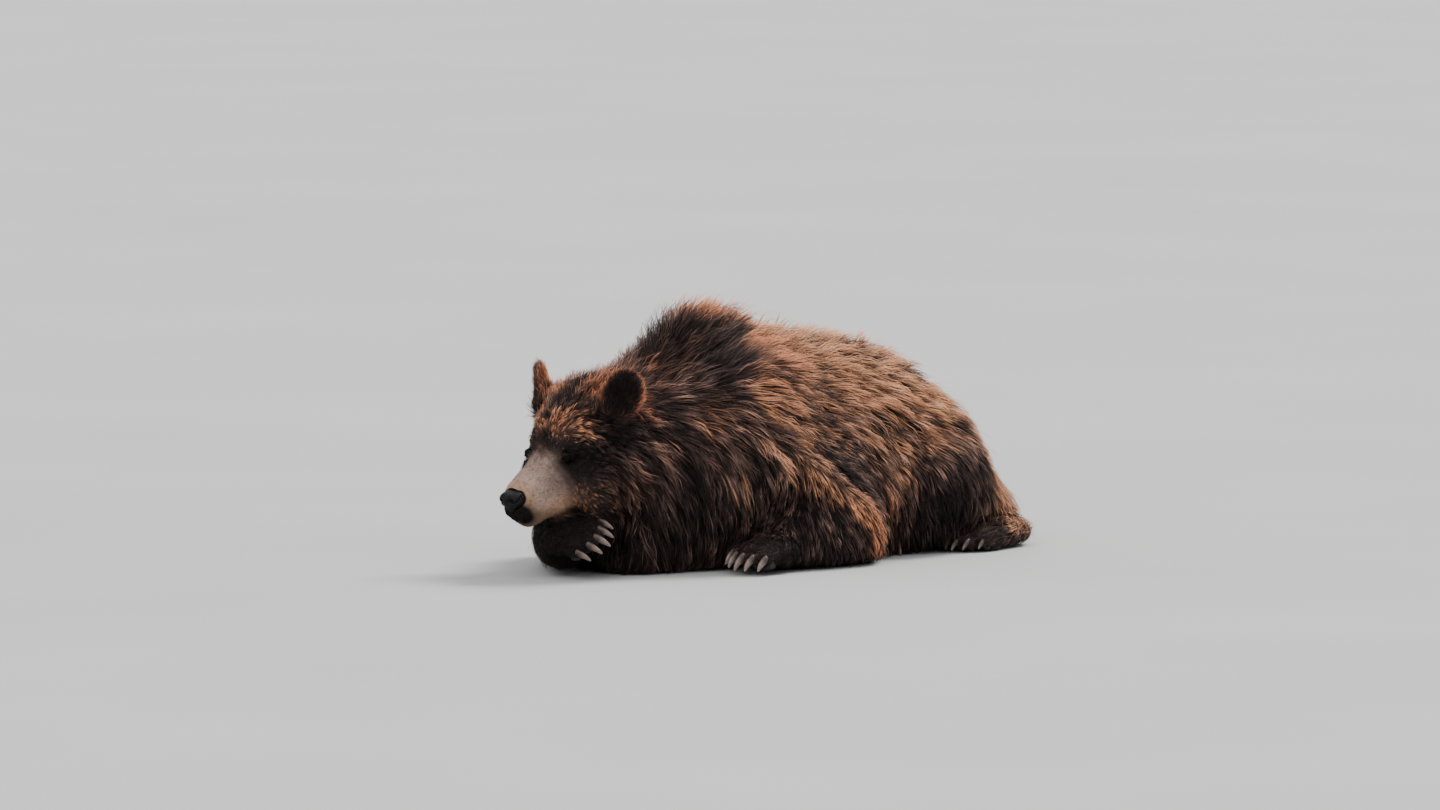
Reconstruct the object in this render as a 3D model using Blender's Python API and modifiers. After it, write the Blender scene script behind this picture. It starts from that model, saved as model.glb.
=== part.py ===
"""A life-size grizzly bear lying on its belly, its chin on its tucked right forepaw.

The solids give the bear's outline out to the tips of its coat. X is the bear's left, Y runs from
nose to rump and Z is up; the floor is Z = 0. Lengths are metres. While the bear is built, the point
under the peak of its shoulder hump is the origin; at the end it is moved so that the middle of its
own box is over the origin.
"""

import math

import bmesh
import bpy
from mathutils import Euler, Matrix, Vector

# ---------------------------------------------------------------- driving sizes

NOSE_TIP = Vector((-0.052, -0.6155, 0.183))
HEAD_YAW = math.radians(-7.0)
HEAD_PITCH = math.radians(15.0)
HEAD_FRAME = (
    Matrix.Translation(NOSE_TIP)
    @ Matrix.Rotation(HEAD_YAW, 4, "Z")
    @ Matrix.Rotation(HEAD_PITCH, 4, "X")
)
SIDE_NAMES = {1: "left", -1: "right"}
GAP = 0.0004
BLOCK = 2.0

# Each trunk station: how far behind the hump, half width, top, level of the widest point, squareness.
TRUNK = (
    (-0.34, 0.140, 0.415, 0.245, 1.80),
    (-0.26, 0.175, 0.455, 0.240, 1.75),
    (-0.16, 0.215, 0.500, 0.225, 1.75),
    (-0.04, 0.248, 0.530, 0.210, 1.80),
    (0.10, 0.270, 0.526, 0.195, 1.95),
    (0.26, 0.290, 0.508, 0.180, 2.05),
    (0.42, 0.298, 0.488, 0.165, 2.10),
    (0.54, 0.291, 0.459, 0.165, 2.10),
    (0.64, 0.268, 0.416, 0.170, 2.05),
    (0.72, 0.212, 0.350, 0.165, 2.00),
    (0.785, 0.122, 0.250, 0.145, 2.00),
)
TRUNK_BOTTOM = -0.014
BELLY_SQUARENESS = 2.7

# Each head station, in the head's own frame: behind the nose tip, half width, top, bottom, squareness.
HEAD = (
    (0.023, 0.019, 0.000, -0.036, 2.2),
    (0.032, 0.032, 0.010, -0.052, 2.4),
    (0.052, 0.043, 0.020, -0.070, 2.5),
    (0.080, 0.049, 0.030, -0.079, 2.5),
    (0.110, 0.056, 0.041, -0.082, 2.5),
    (0.140, 0.069, 0.057, -0.086, 2.4),
    (0.165, 0.088, 0.079, -0.092, 2.2),
    (0.200, 0.116, 0.114, -0.100, 2.1),
    (0.240, 0.142, 0.152, -0.110, 2.0),
    (0.290, 0.160, 0.181, -0.120, 2.0),
    (0.340, 0.166, 0.188, -0.125, 2.0),
    (0.385, 0.158, 0.170, -0.120, 2.0),
)

EYE_RADIUS = 0.0125
EYE_SIDE, EYE_BACK, EYE_UP = 0.0600, 0.160, 0.0475
EAR_SIDE, EAR_BACK, EAR_UP = 0.125, 0.285, 0.127

FLESH_VOXEL = 0.0065
FLESH_TRIANGLES = 1930
FACE_REACH = 0.30

FORE_WIDTH, FORE_LENGTH, FORE_THICK = 0.062, 0.150, 0.036
HIND_WIDTH, HIND_LENGTH, HIND_THICK = 0.060, 0.260, 0.037
FORE_CLAW, HIND_CLAW = (0.041, 0.0112), (0.034, 0.0080)
TOE_SPREAD = 0.78


# ---------------------------------------------------------------- scene and materials


def clear_scene():
    for old in list(bpy.data.objects):
        bpy.data.objects.remove(old)


def collection(name, hidden=False):
    made = bpy.data.collections.new(name)
    made.hide_render = hidden
    bpy.context.scene.collection.children.link(made)
    return made


def material(name, colour, roughness):
    made = bpy.data.materials.new(name)
    made.use_nodes = True
    shader = made.node_tree.nodes["Principled BSDF"]
    shader.inputs["Base Color"].default_value = (*colour, 1.0)
    shader.inputs["Roughness"].default_value = roughness
    shader.inputs["Metallic"].default_value = 0.0
    made.diffuse_color = (*colour, 1.0)
    return made


# ---------------------------------------------------------------- shapes


def turned(degrees):
    return Euler([math.radians(a) for a in degrees]).to_matrix().to_4x4()


def ball(bm, centre, radii, turn=(0, 0, 0), place=Matrix(), around=24, rings=16):
    """An ellipsoid; turn is in degrees and place carries it from its own frame to the bear's."""
    bmesh.ops.create_uvsphere(
        bm,
        u_segments=around,
        v_segments=rings,
        radius=1.0,
        matrix=place @ Matrix.Translation(centre) @ turned(turn) @ Matrix.Diagonal((*radii, 1.0)),
    )


def link(bm, start, start_radius, end, end_radius, place=Matrix()):
    """A straight tapered length with a round end at both ends."""
    start, end = Vector(start), Vector(end)
    along = end - start
    turn = along.to_track_quat("Z", "Y").to_matrix().to_4x4()
    bmesh.ops.create_cone(
        bm,
        cap_ends=True,
        segments=24,
        radius1=start_radius,
        radius2=end_radius,
        depth=along.length,
        matrix=place @ Matrix.Translation((start + end) / 2) @ turn,
    )
    ball(bm, start, (start_radius,) * 3, place=place)
    ball(bm, end, (end_radius,) * 3, place=place)


def limb(bm, joints, place=Matrix()):
    """Tapered lengths through joints, each a (point, radius)."""
    for (start, start_radius), (end, end_radius) in zip(joints, joints[1:]):
        link(bm, start, start_radius, end, end_radius, place)


def smooth_between(values, t):
    """A Catmull-Rom reading of a list of tuples at t, which runs from 0 to the last index."""
    i = min(int(t), len(values) - 2)
    u = t - i
    picks = [values[max(0, min(len(values) - 1, i + k))] for k in (-1, 0, 1, 2)]
    return [
        0.5 * (2 * b + (c - a) * u + (2 * a - 5 * b + 4 * c - d) * u**2 + (3 * b - a - 3 * c + d) * u**3)
        for a, b, c, d in zip(*picks)
    ]


def loft(bm, rings, place=Matrix()):
    """A closed skin through rings of equal length, with a fan at each end."""
    rows = [[bm.verts.new(place @ Vector(p)) for p in ring] for ring in rings]
    around = len(rows[0])
    for front, back in zip(rows, rows[1:]):
        for i in range(around):
            j = (i + 1) % around
            bm.faces.new((front[i], front[j], back[j], back[i]))
    for row, flip in ((rows[0], True), (rows[-1], False)):
        middle = bm.verts.new(sum((v.co for v in row), Vector()) / around)
        for i in range(around):
            j = (i + 1) % around
            bm.faces.new((row[j], row[i], middle) if flip else (row[i], row[j], middle))


def section(along, half, top, bottom, level, squareness, under, around=48):
    """A ring across Y: half wide at level, reaching up to top and down to bottom; under is the
    squareness of its lower half."""
    ring = []
    for i in range(around):
        a = 2 * math.pi * i / around
        c, s = math.cos(a), math.sin(a)
        reach, power = (top - level, 2 / squareness) if s >= 0 else (bottom - level, 2 / under)
        ring.append((half * math.copysign(abs(c) ** power, c), along, level + reach * abs(s) ** power))
    return ring


def read_stations(stations, steps):
    return [smooth_between(stations, i / steps * (len(stations) - 1)) for i in range(steps + 1)]


# ---------------------------------------------------------------- objects and cuts


def settle(obj):
    """Makes the modifiers' result the object's own mesh."""
    graph = bpy.context.evaluated_depsgraph_get()
    made = bpy.data.meshes.new_from_object(obj.evaluated_get(graph))
    old = obj.data
    obj.modifiers.clear()
    obj.data = made
    bpy.data.meshes.remove(old)
    return obj


def object_from(name, bm, group):
    bmesh.ops.recalc_face_normals(bm, faces=bm.faces)
    mesh = bpy.data.meshes.new(name)
    bm.to_mesh(mesh)
    bm.free()
    obj = bpy.data.objects.new(name, mesh)
    group.objects.link(obj)
    return obj


def fuse(obj, voxel):
    """Makes one closed skin of all that overlaps in the object."""
    step = obj.modifiers.new("fuse", "REMESH")
    step.mode = "VOXEL"
    step.voxel_size = voxel
    return settle(obj)


def ease(obj, rounds, softness=None):
    """Smooths the skin; softness says how much at each point."""
    if softness:
        group = obj.vertex_groups.new(name="soft")
        for vertex in obj.data.vertices:
            group.add([vertex.index], softness(vertex.co), "REPLACE")
    step = obj.modifiers.new("ease", "SMOOTH")
    step.factor = 0.5
    step.iterations = rounds
    if softness:
        step.vertex_group = "soft"
    settle(obj)
    obj.vertex_groups.clear()
    return obj


def thin(obj, triangles):
    """Thins the skin to about so many triangles."""
    have = sum(len(face.vertices) - 2 for face in obj.data.polygons)
    step = obj.modifiers.new("thin", "DECIMATE")
    step.ratio = min(1.0, triangles / have)
    return settle(obj)


def boolean(obj, operation, cutter):
    """Applies one exact Boolean and leaves the cutter as it was."""
    cut = obj.modifiers.new("cut", "BOOLEAN")
    cut.operation = operation
    cut.solver = "EXACT"
    cut.object = cutter
    return settle(obj)


def copy_of(obj, name, group, grow=0.0):
    """A copy whose surface is moved out by grow along its normals."""
    mesh = obj.data.copy()
    if grow:
        bm = bmesh.new()
        bm.from_mesh(mesh)
        bm.normal_update()
        for vertex in bm.verts:
            vertex.co += vertex.normal * grow * vertex.calc_shell_factor()
        bm.to_mesh(mesh)
        bm.free()
    made = bpy.data.objects.new(name, mesh)
    group.objects.link(made)
    return made


def drop(*objects):
    for obj in objects:
        bpy.data.objects.remove(obj)


def trim(obj, *neighbours):
    """Cuts the object back from each neighbour, leaving the gap."""
    for other in neighbours:
        cutter = copy_of(other, "trim_cutter", CUTTERS, GAP)
        boolean(obj, "DIFFERENCE", cutter)
        drop(cutter)
    return obj


def slab(middle, size, turn=Matrix()):
    """A block for cutting."""
    bm = bmesh.new()
    bmesh.ops.create_cube(
        bm, size=1.0, matrix=Matrix.Translation(middle) @ turn @ Matrix.Diagonal((*size, 1.0))
    )
    return object_from("slab_cutter", bm, CUTTERS)


def flatten_under(obj):
    """Cuts off what is below the floor, which leaves the flats that the bear rests on."""
    floor = slab((0, 0, -BLOCK / 2), (2 * BLOCK, 2 * BLOCK, BLOCK))
    boolean(obj, "DIFFERENCE", floor)
    drop(floor)
    return obj


def split(obj, front_name, back_name, point, normal):
    """Parts the object with a thin flat cut through the point; the front is against the normal."""
    normal = Vector(normal).normalized()
    turn = normal.to_track_quat("Y", "Z").to_matrix().to_4x4()
    halves = []
    for name, side in ((front_name, -1), (back_name, 1)):
        half = copy_of(obj, name, BEAR)
        keep = slab(Vector(point) + normal * side * (GAP + BLOCK) / 2, (BLOCK,) * 3, turn)
        boolean(half, "INTERSECT", keep)
        drop(keep)
        halves.append(half)
    drop(obj)
    return halves


def carve(body, name, centre, radii, turn):
    """Takes one rounded region out of the body as a piece of its own."""
    bm = bmesh.new()
    ball(bm, centre, radii, turn, around=12, rings=8)
    region = object_from("region_cutter", bm, CUTTERS)
    piece = copy_of(body, name, BEAR)
    boolean(piece, "INTERSECT", region)
    wider = copy_of(region, "region_wider_cutter", CUTTERS, GAP)
    boolean(body, "DIFFERENCE", wider)
    drop(region, wider)
    return piece


def keep_largest(obj):
    """Drops the crumbs that a cut can leave beside the piece."""
    bm = bmesh.new()
    bm.from_mesh(obj.data)
    left = set(bm.verts)
    pieces = []
    while left:
        reach = [left.pop()]
        piece = set(reach)
        while reach:
            for edge in reach.pop().link_edges:
                for other in edge.verts:
                    if other not in piece:
                        piece.add(other)
                        left.discard(other)
                        reach.append(other)
        pieces.append(piece)
    pieces.sort(key=len)
    for crumb in pieces[:-1]:
        bmesh.ops.delete(bm, geom=list(crumb), context="VERTS")
    bm.to_mesh(obj.data)
    bm.free()


# ---------------------------------------------------------------- one skin for all the flesh


def add_trunk(bm):
    rings = [
        section(y, half, top, TRUNK_BOTTOM, level, square, BELLY_SQUARENESS)
        for y, half, top, level, square in read_stations(TRUNK, 34)
    ]
    loft(bm, rings)
    ball(bm, (0, -0.005, 0.405), (0.130, 0.205, 0.184))
    ball(bm, (0, -0.12, 0.380), (0.130, 0.170, 0.132), (24, 0, 0))
    ball(bm, (0, 0.585, 0.200), (0.240, 0.195, 0.200))
    for side in (-1, 1):
        ball(bm, (0.135 * side, 0.04, 0.310), (0.130, 0.215, 0.190))
        ball(bm, (0.164 * side, 0.586, 0.188), (0.128, 0.164, 0.162), (0, 0, 8 * side))


def add_neck(bm):
    head_back = HEAD_FRAME @ Vector((0, 0.33, 0.010))
    limb(bm, ((head_back, 0.150), ((-0.01, -0.17, 0.270), 0.200)))
    limb(bm, (((-0.02, -0.33, 0.160), 0.112), ((0, -0.16, 0.150), 0.165)))


def add_forelegs(bm):
    """The left upper arm is drawn back and the right one reaches forward under the neck."""
    limb(
        bm,
        (
            ((0.180, -0.02, 0.250), 0.130),
            ((0.262, 0.150, 0.135), 0.100),
            ((0.284, 0.200, 0.078), 0.086),
            ((0.290, 0.100, 0.074), 0.078),
            ((0.262, -0.020, 0.058), 0.060),
        ),
    )
    limb(
        bm,
        (
            ((-0.180, -0.08, 0.250), 0.130),
            ((-0.245, -0.07, 0.145), 0.100),
            ((-0.262, -0.110, 0.080), 0.084),
            ((-0.180, -0.265, 0.074), 0.072),
            ((-0.036, -0.428, 0.062), 0.050),
        ),
    )


def add_hindlegs(bm):
    for side in (-1, 1):
        limb(
            bm,
            (
                ((0.150 * side, 0.590, 0.200), 0.132),
                ((0.258 * side, 0.500, 0.166), 0.106),
                ((0.280 * side, 0.480, 0.150), 0.090),
                ((0.258 * side, 0.650, 0.114), 0.068),
                ((0.258 * side, 0.738, 0.074), 0.050),
            ),
        )


def add_head(bm):
    rings = [
        section(back, half, top, bottom, (bottom + top) / 2, square, square)
        for back, half, top, bottom, square in read_stations(HEAD, 44)
    ]
    loft(bm, rings, HEAD_FRAME)
    both_sides = (
        ((0.044, 0.196, 0.078), (0.034, 0.040, 0.024), (24, 0, 0)),
        ((0.092, 0.228, -0.032), (0.062, 0.085, 0.074), (0, 0, 14)),
        ((0.120, 0.300, -0.028), (0.064, 0.090, 0.094), (0, 0, 6)),
        ((0.024, 0.064, -0.045), (0.024, 0.036, 0.022), (0, 0, 0)),
    )
    for (x, y, z), radii, (rx, ry, rz) in both_sides:
        for side in (-1, 1):
            ball(bm, (x * side, y, z), radii, (rx, ry * side, -rz * side), HEAD_FRAME)
    ball(bm, (0, 0.255, 0.112), (0.095, 0.090, 0.050), (20, 0, 0), HEAD_FRAME)
    ball(bm, (0, 0.078, -0.064), (0.034, 0.042, 0.024), (0, 0, 0), HEAD_FRAME)


def sunk_sockets(obj):
    """Hollows the eye sockets at both sides of the muzzle's root."""
    bm = bmesh.new()
    for side in (-1, 1):
        ball(bm, (0.077 * side, 0.157, 0.046), (0.024, 0.026, 0.017), (0, 0, -28 * side), HEAD_FRAME)
    hollow = object_from("socket_cutter", bm, CUTTERS)
    boolean(obj, "DIFFERENCE", hollow)
    drop(hollow)


def off_the_face(point):
    """0 on the face and 1 on the body, for the smoothing."""
    away = (point - HEAD_FRAME @ Vector((0, 0.12, 0))).length
    return min(1.0, max(0.08, away / FACE_REACH - 0.50))


def flesh():
    bm = bmesh.new()
    for add in (add_trunk, add_neck, add_forelegs, add_hindlegs, add_head):
        add(bm)
    made = fuse(object_from("flesh", bm, CUTTERS), FLESH_VOXEL)
    sunk_sockets(made)
    fuse(made, FLESH_VOXEL)
    ease(made, 80, off_the_face)
    return thin(made, FLESH_TRIANGLES)


# ---------------------------------------------------------------- ears, eyes and nose


def ear(side):
    """A round upright ear, hollow in front, standing on the head and turned outwards."""
    frame = HEAD_FRAME @ Matrix.Translation((EAR_SIDE * side, EAR_BACK, EAR_UP)) @ turned((-12, 32 * side, 36 * side))
    bm = bmesh.new()
    ball(bm, (0, 0, 0.030), (0.051, 0.024, 0.056), place=frame)
    ball(bm, (0, 0.006, -0.010), (0.046, 0.027, 0.050), place=frame)
    made = fuse(object_from(f"ear_{SIDE_NAMES[side]}", bm, BEAR), 0.004)
    bm = bmesh.new()
    ball(bm, (0, -0.026, 0.034), (0.035, 0.022, 0.039), place=frame)
    bowl = object_from("ear_cutter", bm, CUTTERS)
    boolean(made, "DIFFERENCE", bowl)
    drop(bowl)
    fuse(made, 0.004)
    ease(made, 4)
    return thin(made, 190)


def eye(side):
    bm = bmesh.new()
    ball(bm, (EYE_SIDE * side, EYE_BACK, EYE_UP), (EYE_RADIUS,) * 3, place=HEAD_FRAME, around=10, rings=6)
    return object_from(f"eye_{SIDE_NAMES[side]}", bm, BEAR)


def nose():
    """The bare nose pad, before its nostrils."""
    bm = bmesh.new()
    ball(bm, (0, 0.036, -0.011), (0.031, 0.026, 0.019), (8, 0, 0), HEAD_FRAME)
    ball(bm, (0, 0.028, -0.024), (0.015, 0.013, 0.015), place=HEAD_FRAME)
    made = fuse(object_from("nose", bm, BEAR), 0.0022)
    ease(made, 5)
    return thin(made, 130)


def open_nostrils(pad):
    bm = bmesh.new()
    for side in (-1, 1):
        ball(bm, (0.0165 * side, 0.013, -0.012), (0.007, 0.010, 0.007), (0, 0, 30 * side), HEAD_FRAME, 8, 5)
    pits = object_from("nostril_cutter", bm, CUTTERS)
    boolean(pad, "DIFFERENCE", pits)
    drop(pits)


# ---------------------------------------------------------------- paws and claws


def paw_frame(wrist, fingers, across):
    """A frame at the wrist: -Y along the fingers, X across the paw, Z out of its back."""
    y = -Vector(fingers).normalized()
    x = Vector(across)
    x = (x - y * x.dot(y)).normalized()
    return Matrix.Translation(wrist) @ Matrix((x, y, x.cross(y))).transposed().to_4x4()


def toe_tips(width, length):
    """Where the five toes end: across, along and how much smaller the outer ones are."""
    tips = []
    for i in range(5):
        t = (i - 2) / 2
        tips.append((TOE_SPREAD * t * width, -length * (1 - 0.14 * t * t), 1 - 0.10 * abs(t)))
    return tips


def paw(name, frame, width, length, thick):
    """Palm and five toes, in the paw's frame."""
    bm = bmesh.new()
    ball(bm, (0, -0.30 * length, 0), (0.98 * width, 0.42 * length, thick), place=frame)
    ball(bm, (0, -0.62 * length, -0.10 * thick), (1.04 * width, 0.30 * length, 0.85 * thick), place=frame)
    for across, along, size in toe_tips(width, length):
        root = (across * 0.9, -0.55 * length, 0.05 * thick)
        tip = (across, along + 0.020, -0.22 * thick)
        link(bm, root, 0.021 * size, tip, 0.0185 * size, frame)
    made = fuse(object_from(name, bm, BEAR), 0.0045)
    ease(made, 5)
    return thin(made, 140)


def claws(name, frame, width, length, thick, reach, deep, turn_down):
    """Five curved claws, from the toes' tips towards the palm side."""
    made = []
    steps, sides, arc = 3, 5, math.radians(50)
    for number, (across, along, size) in enumerate(toe_tips(width, length), 1):
        root = Vector((across, along + 0.016, -0.12 * thick))
        radius = reach * size / arc
        rings = []
        for i in range(steps + 1):
            t = i / steps
            a = turn_down + arc * t
            out = Vector((0, -math.sin(a), math.cos(a)))
            centre = root + radius * (out - Vector((0, -math.sin(turn_down), math.cos(turn_down))))
            tall = deep * size * (1 - t) ** 0.48 + 0.0012
            ring = []
            for k in range(sides):
                b = 2 * math.pi * k / sides
                ring.append(centre + Vector((1, 0, 0)) * 0.72 * tall * math.cos(b) + out * tall * math.sin(b))
            rings.append(ring)
        bm = bmesh.new()
        loft(bm, rings, frame)
        made.append(object_from(f"{name}_claw_{number}", bm, BEAR))
    return made


# ---------------------------------------------------------------- the whole bear


def forepaws(body):
    """The left paw lies palm down, pointing forward; the right one stands on its outer edge under the chin."""
    frames = (
        ("forepaw_left", paw_frame((0.272, -0.030, 0.052), (-0.06, -1.0, -0.06), (1.0, -0.06, -0.10))),
        ("forepaw_right", paw_frame((-0.048, -0.453, 0.095), (0.995, -0.06, 0.02), (0.0, 0.74, 0.67))),
    )
    made = []
    for name, frame in frames:
        foot = paw(name, frame, FORE_WIDTH, FORE_LENGTH, FORE_THICK)
        nails = claws(name, frame, FORE_WIDTH, FORE_LENGTH, FORE_THICK, *FORE_CLAW, 0.30)
        trim(foot, body, *nails)
        made += [foot, *nails]
    return made


def hindpaws(body):
    """Both soles lie whole on the floor, with the heels behind the hocks."""
    made = []
    for side in (-1, 1):
        name = f"hindpaw_{SIDE_NAMES[side]}"
        frame = paw_frame((0.282 * side, 0.776, 0.034), (0.10 * side, -1.0, -0.02), (1, 0, 0))
        foot = paw(name, frame, HIND_WIDTH, HIND_LENGTH, HIND_THICK)
        nails = claws(name, frame, HIND_WIDTH, HIND_LENGTH, HIND_THICK, *HIND_CLAW, 0.15)
        trim(foot, body, *nails)
        made += [foot, *nails]
    return made


def tail(body):
    bm = bmesh.new()
    limb(bm, (((0, 0.760, 0.245), 0.038), ((0, 0.806, 0.205), 0.034), ((0, 0.822, 0.160), 0.020)))
    made = fuse(object_from("tail", bm, BEAR), 0.006)
    ease(made, 4)
    return trim(thin(made, 110), body)


def divide(body):
    """Parts the one skin into the legs' lengths, the head, the neck and the trunk."""
    regions = (
        ("forearm_left", (0.288, 0.085, 0.060), (0.112, 0.215, 0.112), (0, 0, -4)),
        ("upper_arm_left", (0.290, 0.100, 0.130), (0.160, 0.215, 0.190), (-30, 0, 8)),
        ("forearm_right", (-0.165, -0.265, 0.050), (0.105, 0.245, 0.112), (0, 0, 34)),
        ("upper_arm_right", (-0.290, -0.070, 0.140), (0.150, 0.180, 0.180), (0, 0, 0)),
        ("shank_left", (0.285, 0.640, 0.060), (0.115, 0.215, 0.105), (0, 0, 3)),
        ("shank_right", (-0.285, 0.640, 0.060), (0.115, 0.215, 0.105), (0, 0, -3)),
        ("thigh_left", (0.300, 0.545, 0.150), (0.160, 0.225, 0.175), (0, 0, 10)),
        ("thigh_right", (-0.300, 0.545, 0.150), (0.160, 0.225, 0.175), (0, 0, -10)),
    )
    made = [carve(body, *region) for region in regions]
    along = HEAD_FRAME.to_3x3() @ Vector((0, 1, 0))
    head, rest = split(body, "head", "rest", HEAD_FRAME @ Vector((0, 0.315, 0)), along + Vector((0, 0, -0.60)))
    neck, trunk = split(rest, "neck", "trunk", (0, -0.120, 0.300), (0, 1, -0.32))
    return made + [head, neck, trunk]


def centre_on_floor():
    """Moves the bear so that the middle of its box is over the origin."""
    corners = [o.matrix_world @ v.co for o in BEAR.objects for v in o.data.vertices]
    low = [min(c[k] for c in corners) for k in range(3)]
    high = [max(c[k] for c in corners) for k in range(3)]
    shift = Matrix.Translation((-(low[0] + high[0]) / 2, -(low[1] + high[1]) / 2, -low[2]))
    for obj in BEAR.objects:
        obj.data.transform(shift)
    print("moved by", [round(v, 5) for v in shift.translation])
    print("size", [round(b - a, 4) for a, b in zip(low, high)])


def finish_materials():
    fur = material("fur", (0.130, 0.065, 0.042), 0.85)
    bare = material("bare_skin", (0.020, 0.018, 0.019), 0.45)
    horn = material("claw_horn", (0.300, 0.230, 0.190), 0.40)
    glass = material("eye", (0.018, 0.009, 0.006), 0.08)
    for obj in BEAR.objects:
        if "claw" in obj.name:
            obj.data.materials.append(horn)
        elif obj.name.startswith("eye"):
            obj.data.materials.append(glass)
        elif obj.name == "nose":
            obj.data.materials.append(bare)
        else:
            obj.data.materials.append(fur)
        obj.data.shade_smooth()


def main():
    body = flesh()
    eyes = [eye(side) for side in (-1, 1)]
    pad = nose()
    ears = [ear(side) for side in (-1, 1)]
    feet = forepaws(body) + hindpaws(body)
    for one in ears:
        trim(one, body)
    rump_tail = tail(body)
    trim(body, pad, *eyes)
    open_nostrils(pad)
    pieces = divide(body) + feet + [rump_tail]
    for obj in pieces:
        flatten_under(obj)
        keep_largest(obj)
    finish_materials()
    centre_on_floor()


clear_scene()
BEAR = collection("grizzly_bear")
CUTTERS = collection("cutters", hidden=True)
main()
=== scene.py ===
"""A grizzly bear lying with its chin on its forepaw: skin, coat, eyes, nose, pads and claws.

Two frames are used besides the row's own. The bear frame has its origin on the floor under the
shoulder hump, X to the bear's left, Y to its rump and Z up. The head frame has its origin at the
front of the muzzle, x to the bear's left, y back along the skull and z out of the forehead.
"""

import math

import bmesh
import bpy
import numpy as np
from mathutils import Euler, Matrix, Vector
from mathutils.bvhtree import BVHTree
from mathutils.kdtree import KDTree


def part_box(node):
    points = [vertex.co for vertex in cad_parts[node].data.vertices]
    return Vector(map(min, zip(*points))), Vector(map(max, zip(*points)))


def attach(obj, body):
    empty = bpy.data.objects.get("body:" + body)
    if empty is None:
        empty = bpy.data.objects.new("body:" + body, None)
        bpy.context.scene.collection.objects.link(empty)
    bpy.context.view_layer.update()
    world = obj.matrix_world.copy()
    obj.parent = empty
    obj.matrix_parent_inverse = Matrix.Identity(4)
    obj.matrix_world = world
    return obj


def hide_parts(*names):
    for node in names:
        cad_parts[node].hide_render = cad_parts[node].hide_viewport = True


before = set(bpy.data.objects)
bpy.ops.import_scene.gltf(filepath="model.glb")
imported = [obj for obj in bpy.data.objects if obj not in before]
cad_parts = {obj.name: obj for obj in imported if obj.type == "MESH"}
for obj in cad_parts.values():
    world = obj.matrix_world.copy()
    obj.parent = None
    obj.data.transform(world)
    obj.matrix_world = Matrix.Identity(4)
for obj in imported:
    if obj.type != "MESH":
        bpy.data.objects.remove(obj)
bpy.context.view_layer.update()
SCENE = bpy.context.scene
SIDES = (("left", 1), ("right", -1))

# ---------------------------------------------------------------- sizes

# Lengths are in metres. CREST_TOP and CREST_ROOM ease the hump's hair in under a top at their sum.
HEAD_PITCH = math.radians(15.0)
EYE_BACK, EYE_UP, EYE_FORWARD = 0.160, 0.0475, 0.001
MUZZLE_FRONT = Vector((-0.052, -0.6155, 0.183))
EAR_SIDE, EAR_BACK, EAR_UP, EAR_FORWARD = 0.125, 0.273, 0.127, 0.012
NOSE_CENTRE, NOSE_RADII = np.array((0, 0.038, -0.012)), np.array((0.0320, 0.0275, 0.0190))
CLAW_ARC = math.radians(50)

SKIN_GROW = 0.0011
SKIN_CELL, NOSE_CELL, PAD_CELL = 0.006, 0.0011, 0.0022
EYEBALL = 0.0112
LID_WIDE, LID_TALL, LID_DROP, LID_THICK = 0.0100, 0.0044, 0.0010, 0.0016

FLOOR_CLEAR, PAD_CLEAR = 0.0012, 0.0008
CREST_TOP, CREST_ROOM = 0.594, 0.012

# A tuft's width along it, as places and shares, and the side of its patch on the unwrap.
TUFT_TAPER = (0, 0.35, 0.75, 1.0), (0.75, 1.0, 0.70, 0.0)
BAKE_PATCH = 0.003
STREAK_STEP, STREAK_STEPS = 0.0085, 10
ROOT_SEED, LOCK_SEED = 40, 90

LEG_PARTS = ("upper_arm", "forearm", "thigh", "shank")
LEG_NODES = [f"{part}_{side}" for part in LEG_PARTS for side, _ in SIDES]
PAW_NODES = [f"{part}_{side}" for part in ("forepaw", "hindpaw") for side, _ in SIDES]
EAR_NODES = [f"ear_{side}" for side, _ in SIDES]
FLESH_NODES = ["head", "neck", "trunk", "tail", *LEG_NODES, *PAW_NODES, *EAR_NODES]

# ---------------------------------------------------------------- colours, linear

NIGHT = (0.0080, 0.0058, 0.0055)
UMBER = (0.040, 0.0290, 0.0275)
CHESTNUT = (0.142, 0.088, 0.072)
BRONZE = (0.325, 0.183, 0.128)
HONEY = (0.610, 0.296, 0.165)
STRAW = (0.870, 0.445, 0.240)
REDDEN = (1.14, 0.74, 0.56)
BRIGHTEST = 0.80
FAWN = (0.375, 0.262, 0.215)
TAN = (0.370, 0.225, 0.145)
LIP_FUZZ = 1.45 * np.array(TAN)
SMOKE = (0.100, 0.078, 0.068)
HORN_PALE = (0.205, 0.150, 0.128)
HORN_DARK = (0.060, 0.040, 0.032)
HORN_WORN = (0.28, 0.22, 0.19)


# ---------------------------------------------------------------- frames and number helpers


def centre_of(node):
    low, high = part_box(node)
    return (low + high) / 2


def find_head_frame():
    """The head frame, read from where the two eyes are."""
    left, right = centre_of("eye_left"), centre_of("eye_right")
    x = (left - right).normalized()
    level_back = Vector((-x.y, x.x, 0)).normalized()
    y = level_back * math.cos(HEAD_PITCH) + Vector((0, 0, 1)) * math.sin(HEAD_PITCH)
    y = (y - x * x.dot(y)).normalized()
    z = x.cross(y)
    turn = Matrix((x, y, z)).transposed()
    origin = (left + right) / 2 - y * EYE_BACK - z * EYE_UP
    return Matrix.Translation(origin) @ turn.to_4x4()


HEAD = find_head_frame()
BEAR_ORIGIN = np.array(HEAD.translation - MUZZLE_FRONT)
EYE_SIDE = (centre_of("eye_left") - centre_of("eye_right")).length / 2


def to_head(points):
    turn = np.array(HEAD.to_3x3())
    return (points - np.array(HEAD.translation)) @ turn


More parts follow.
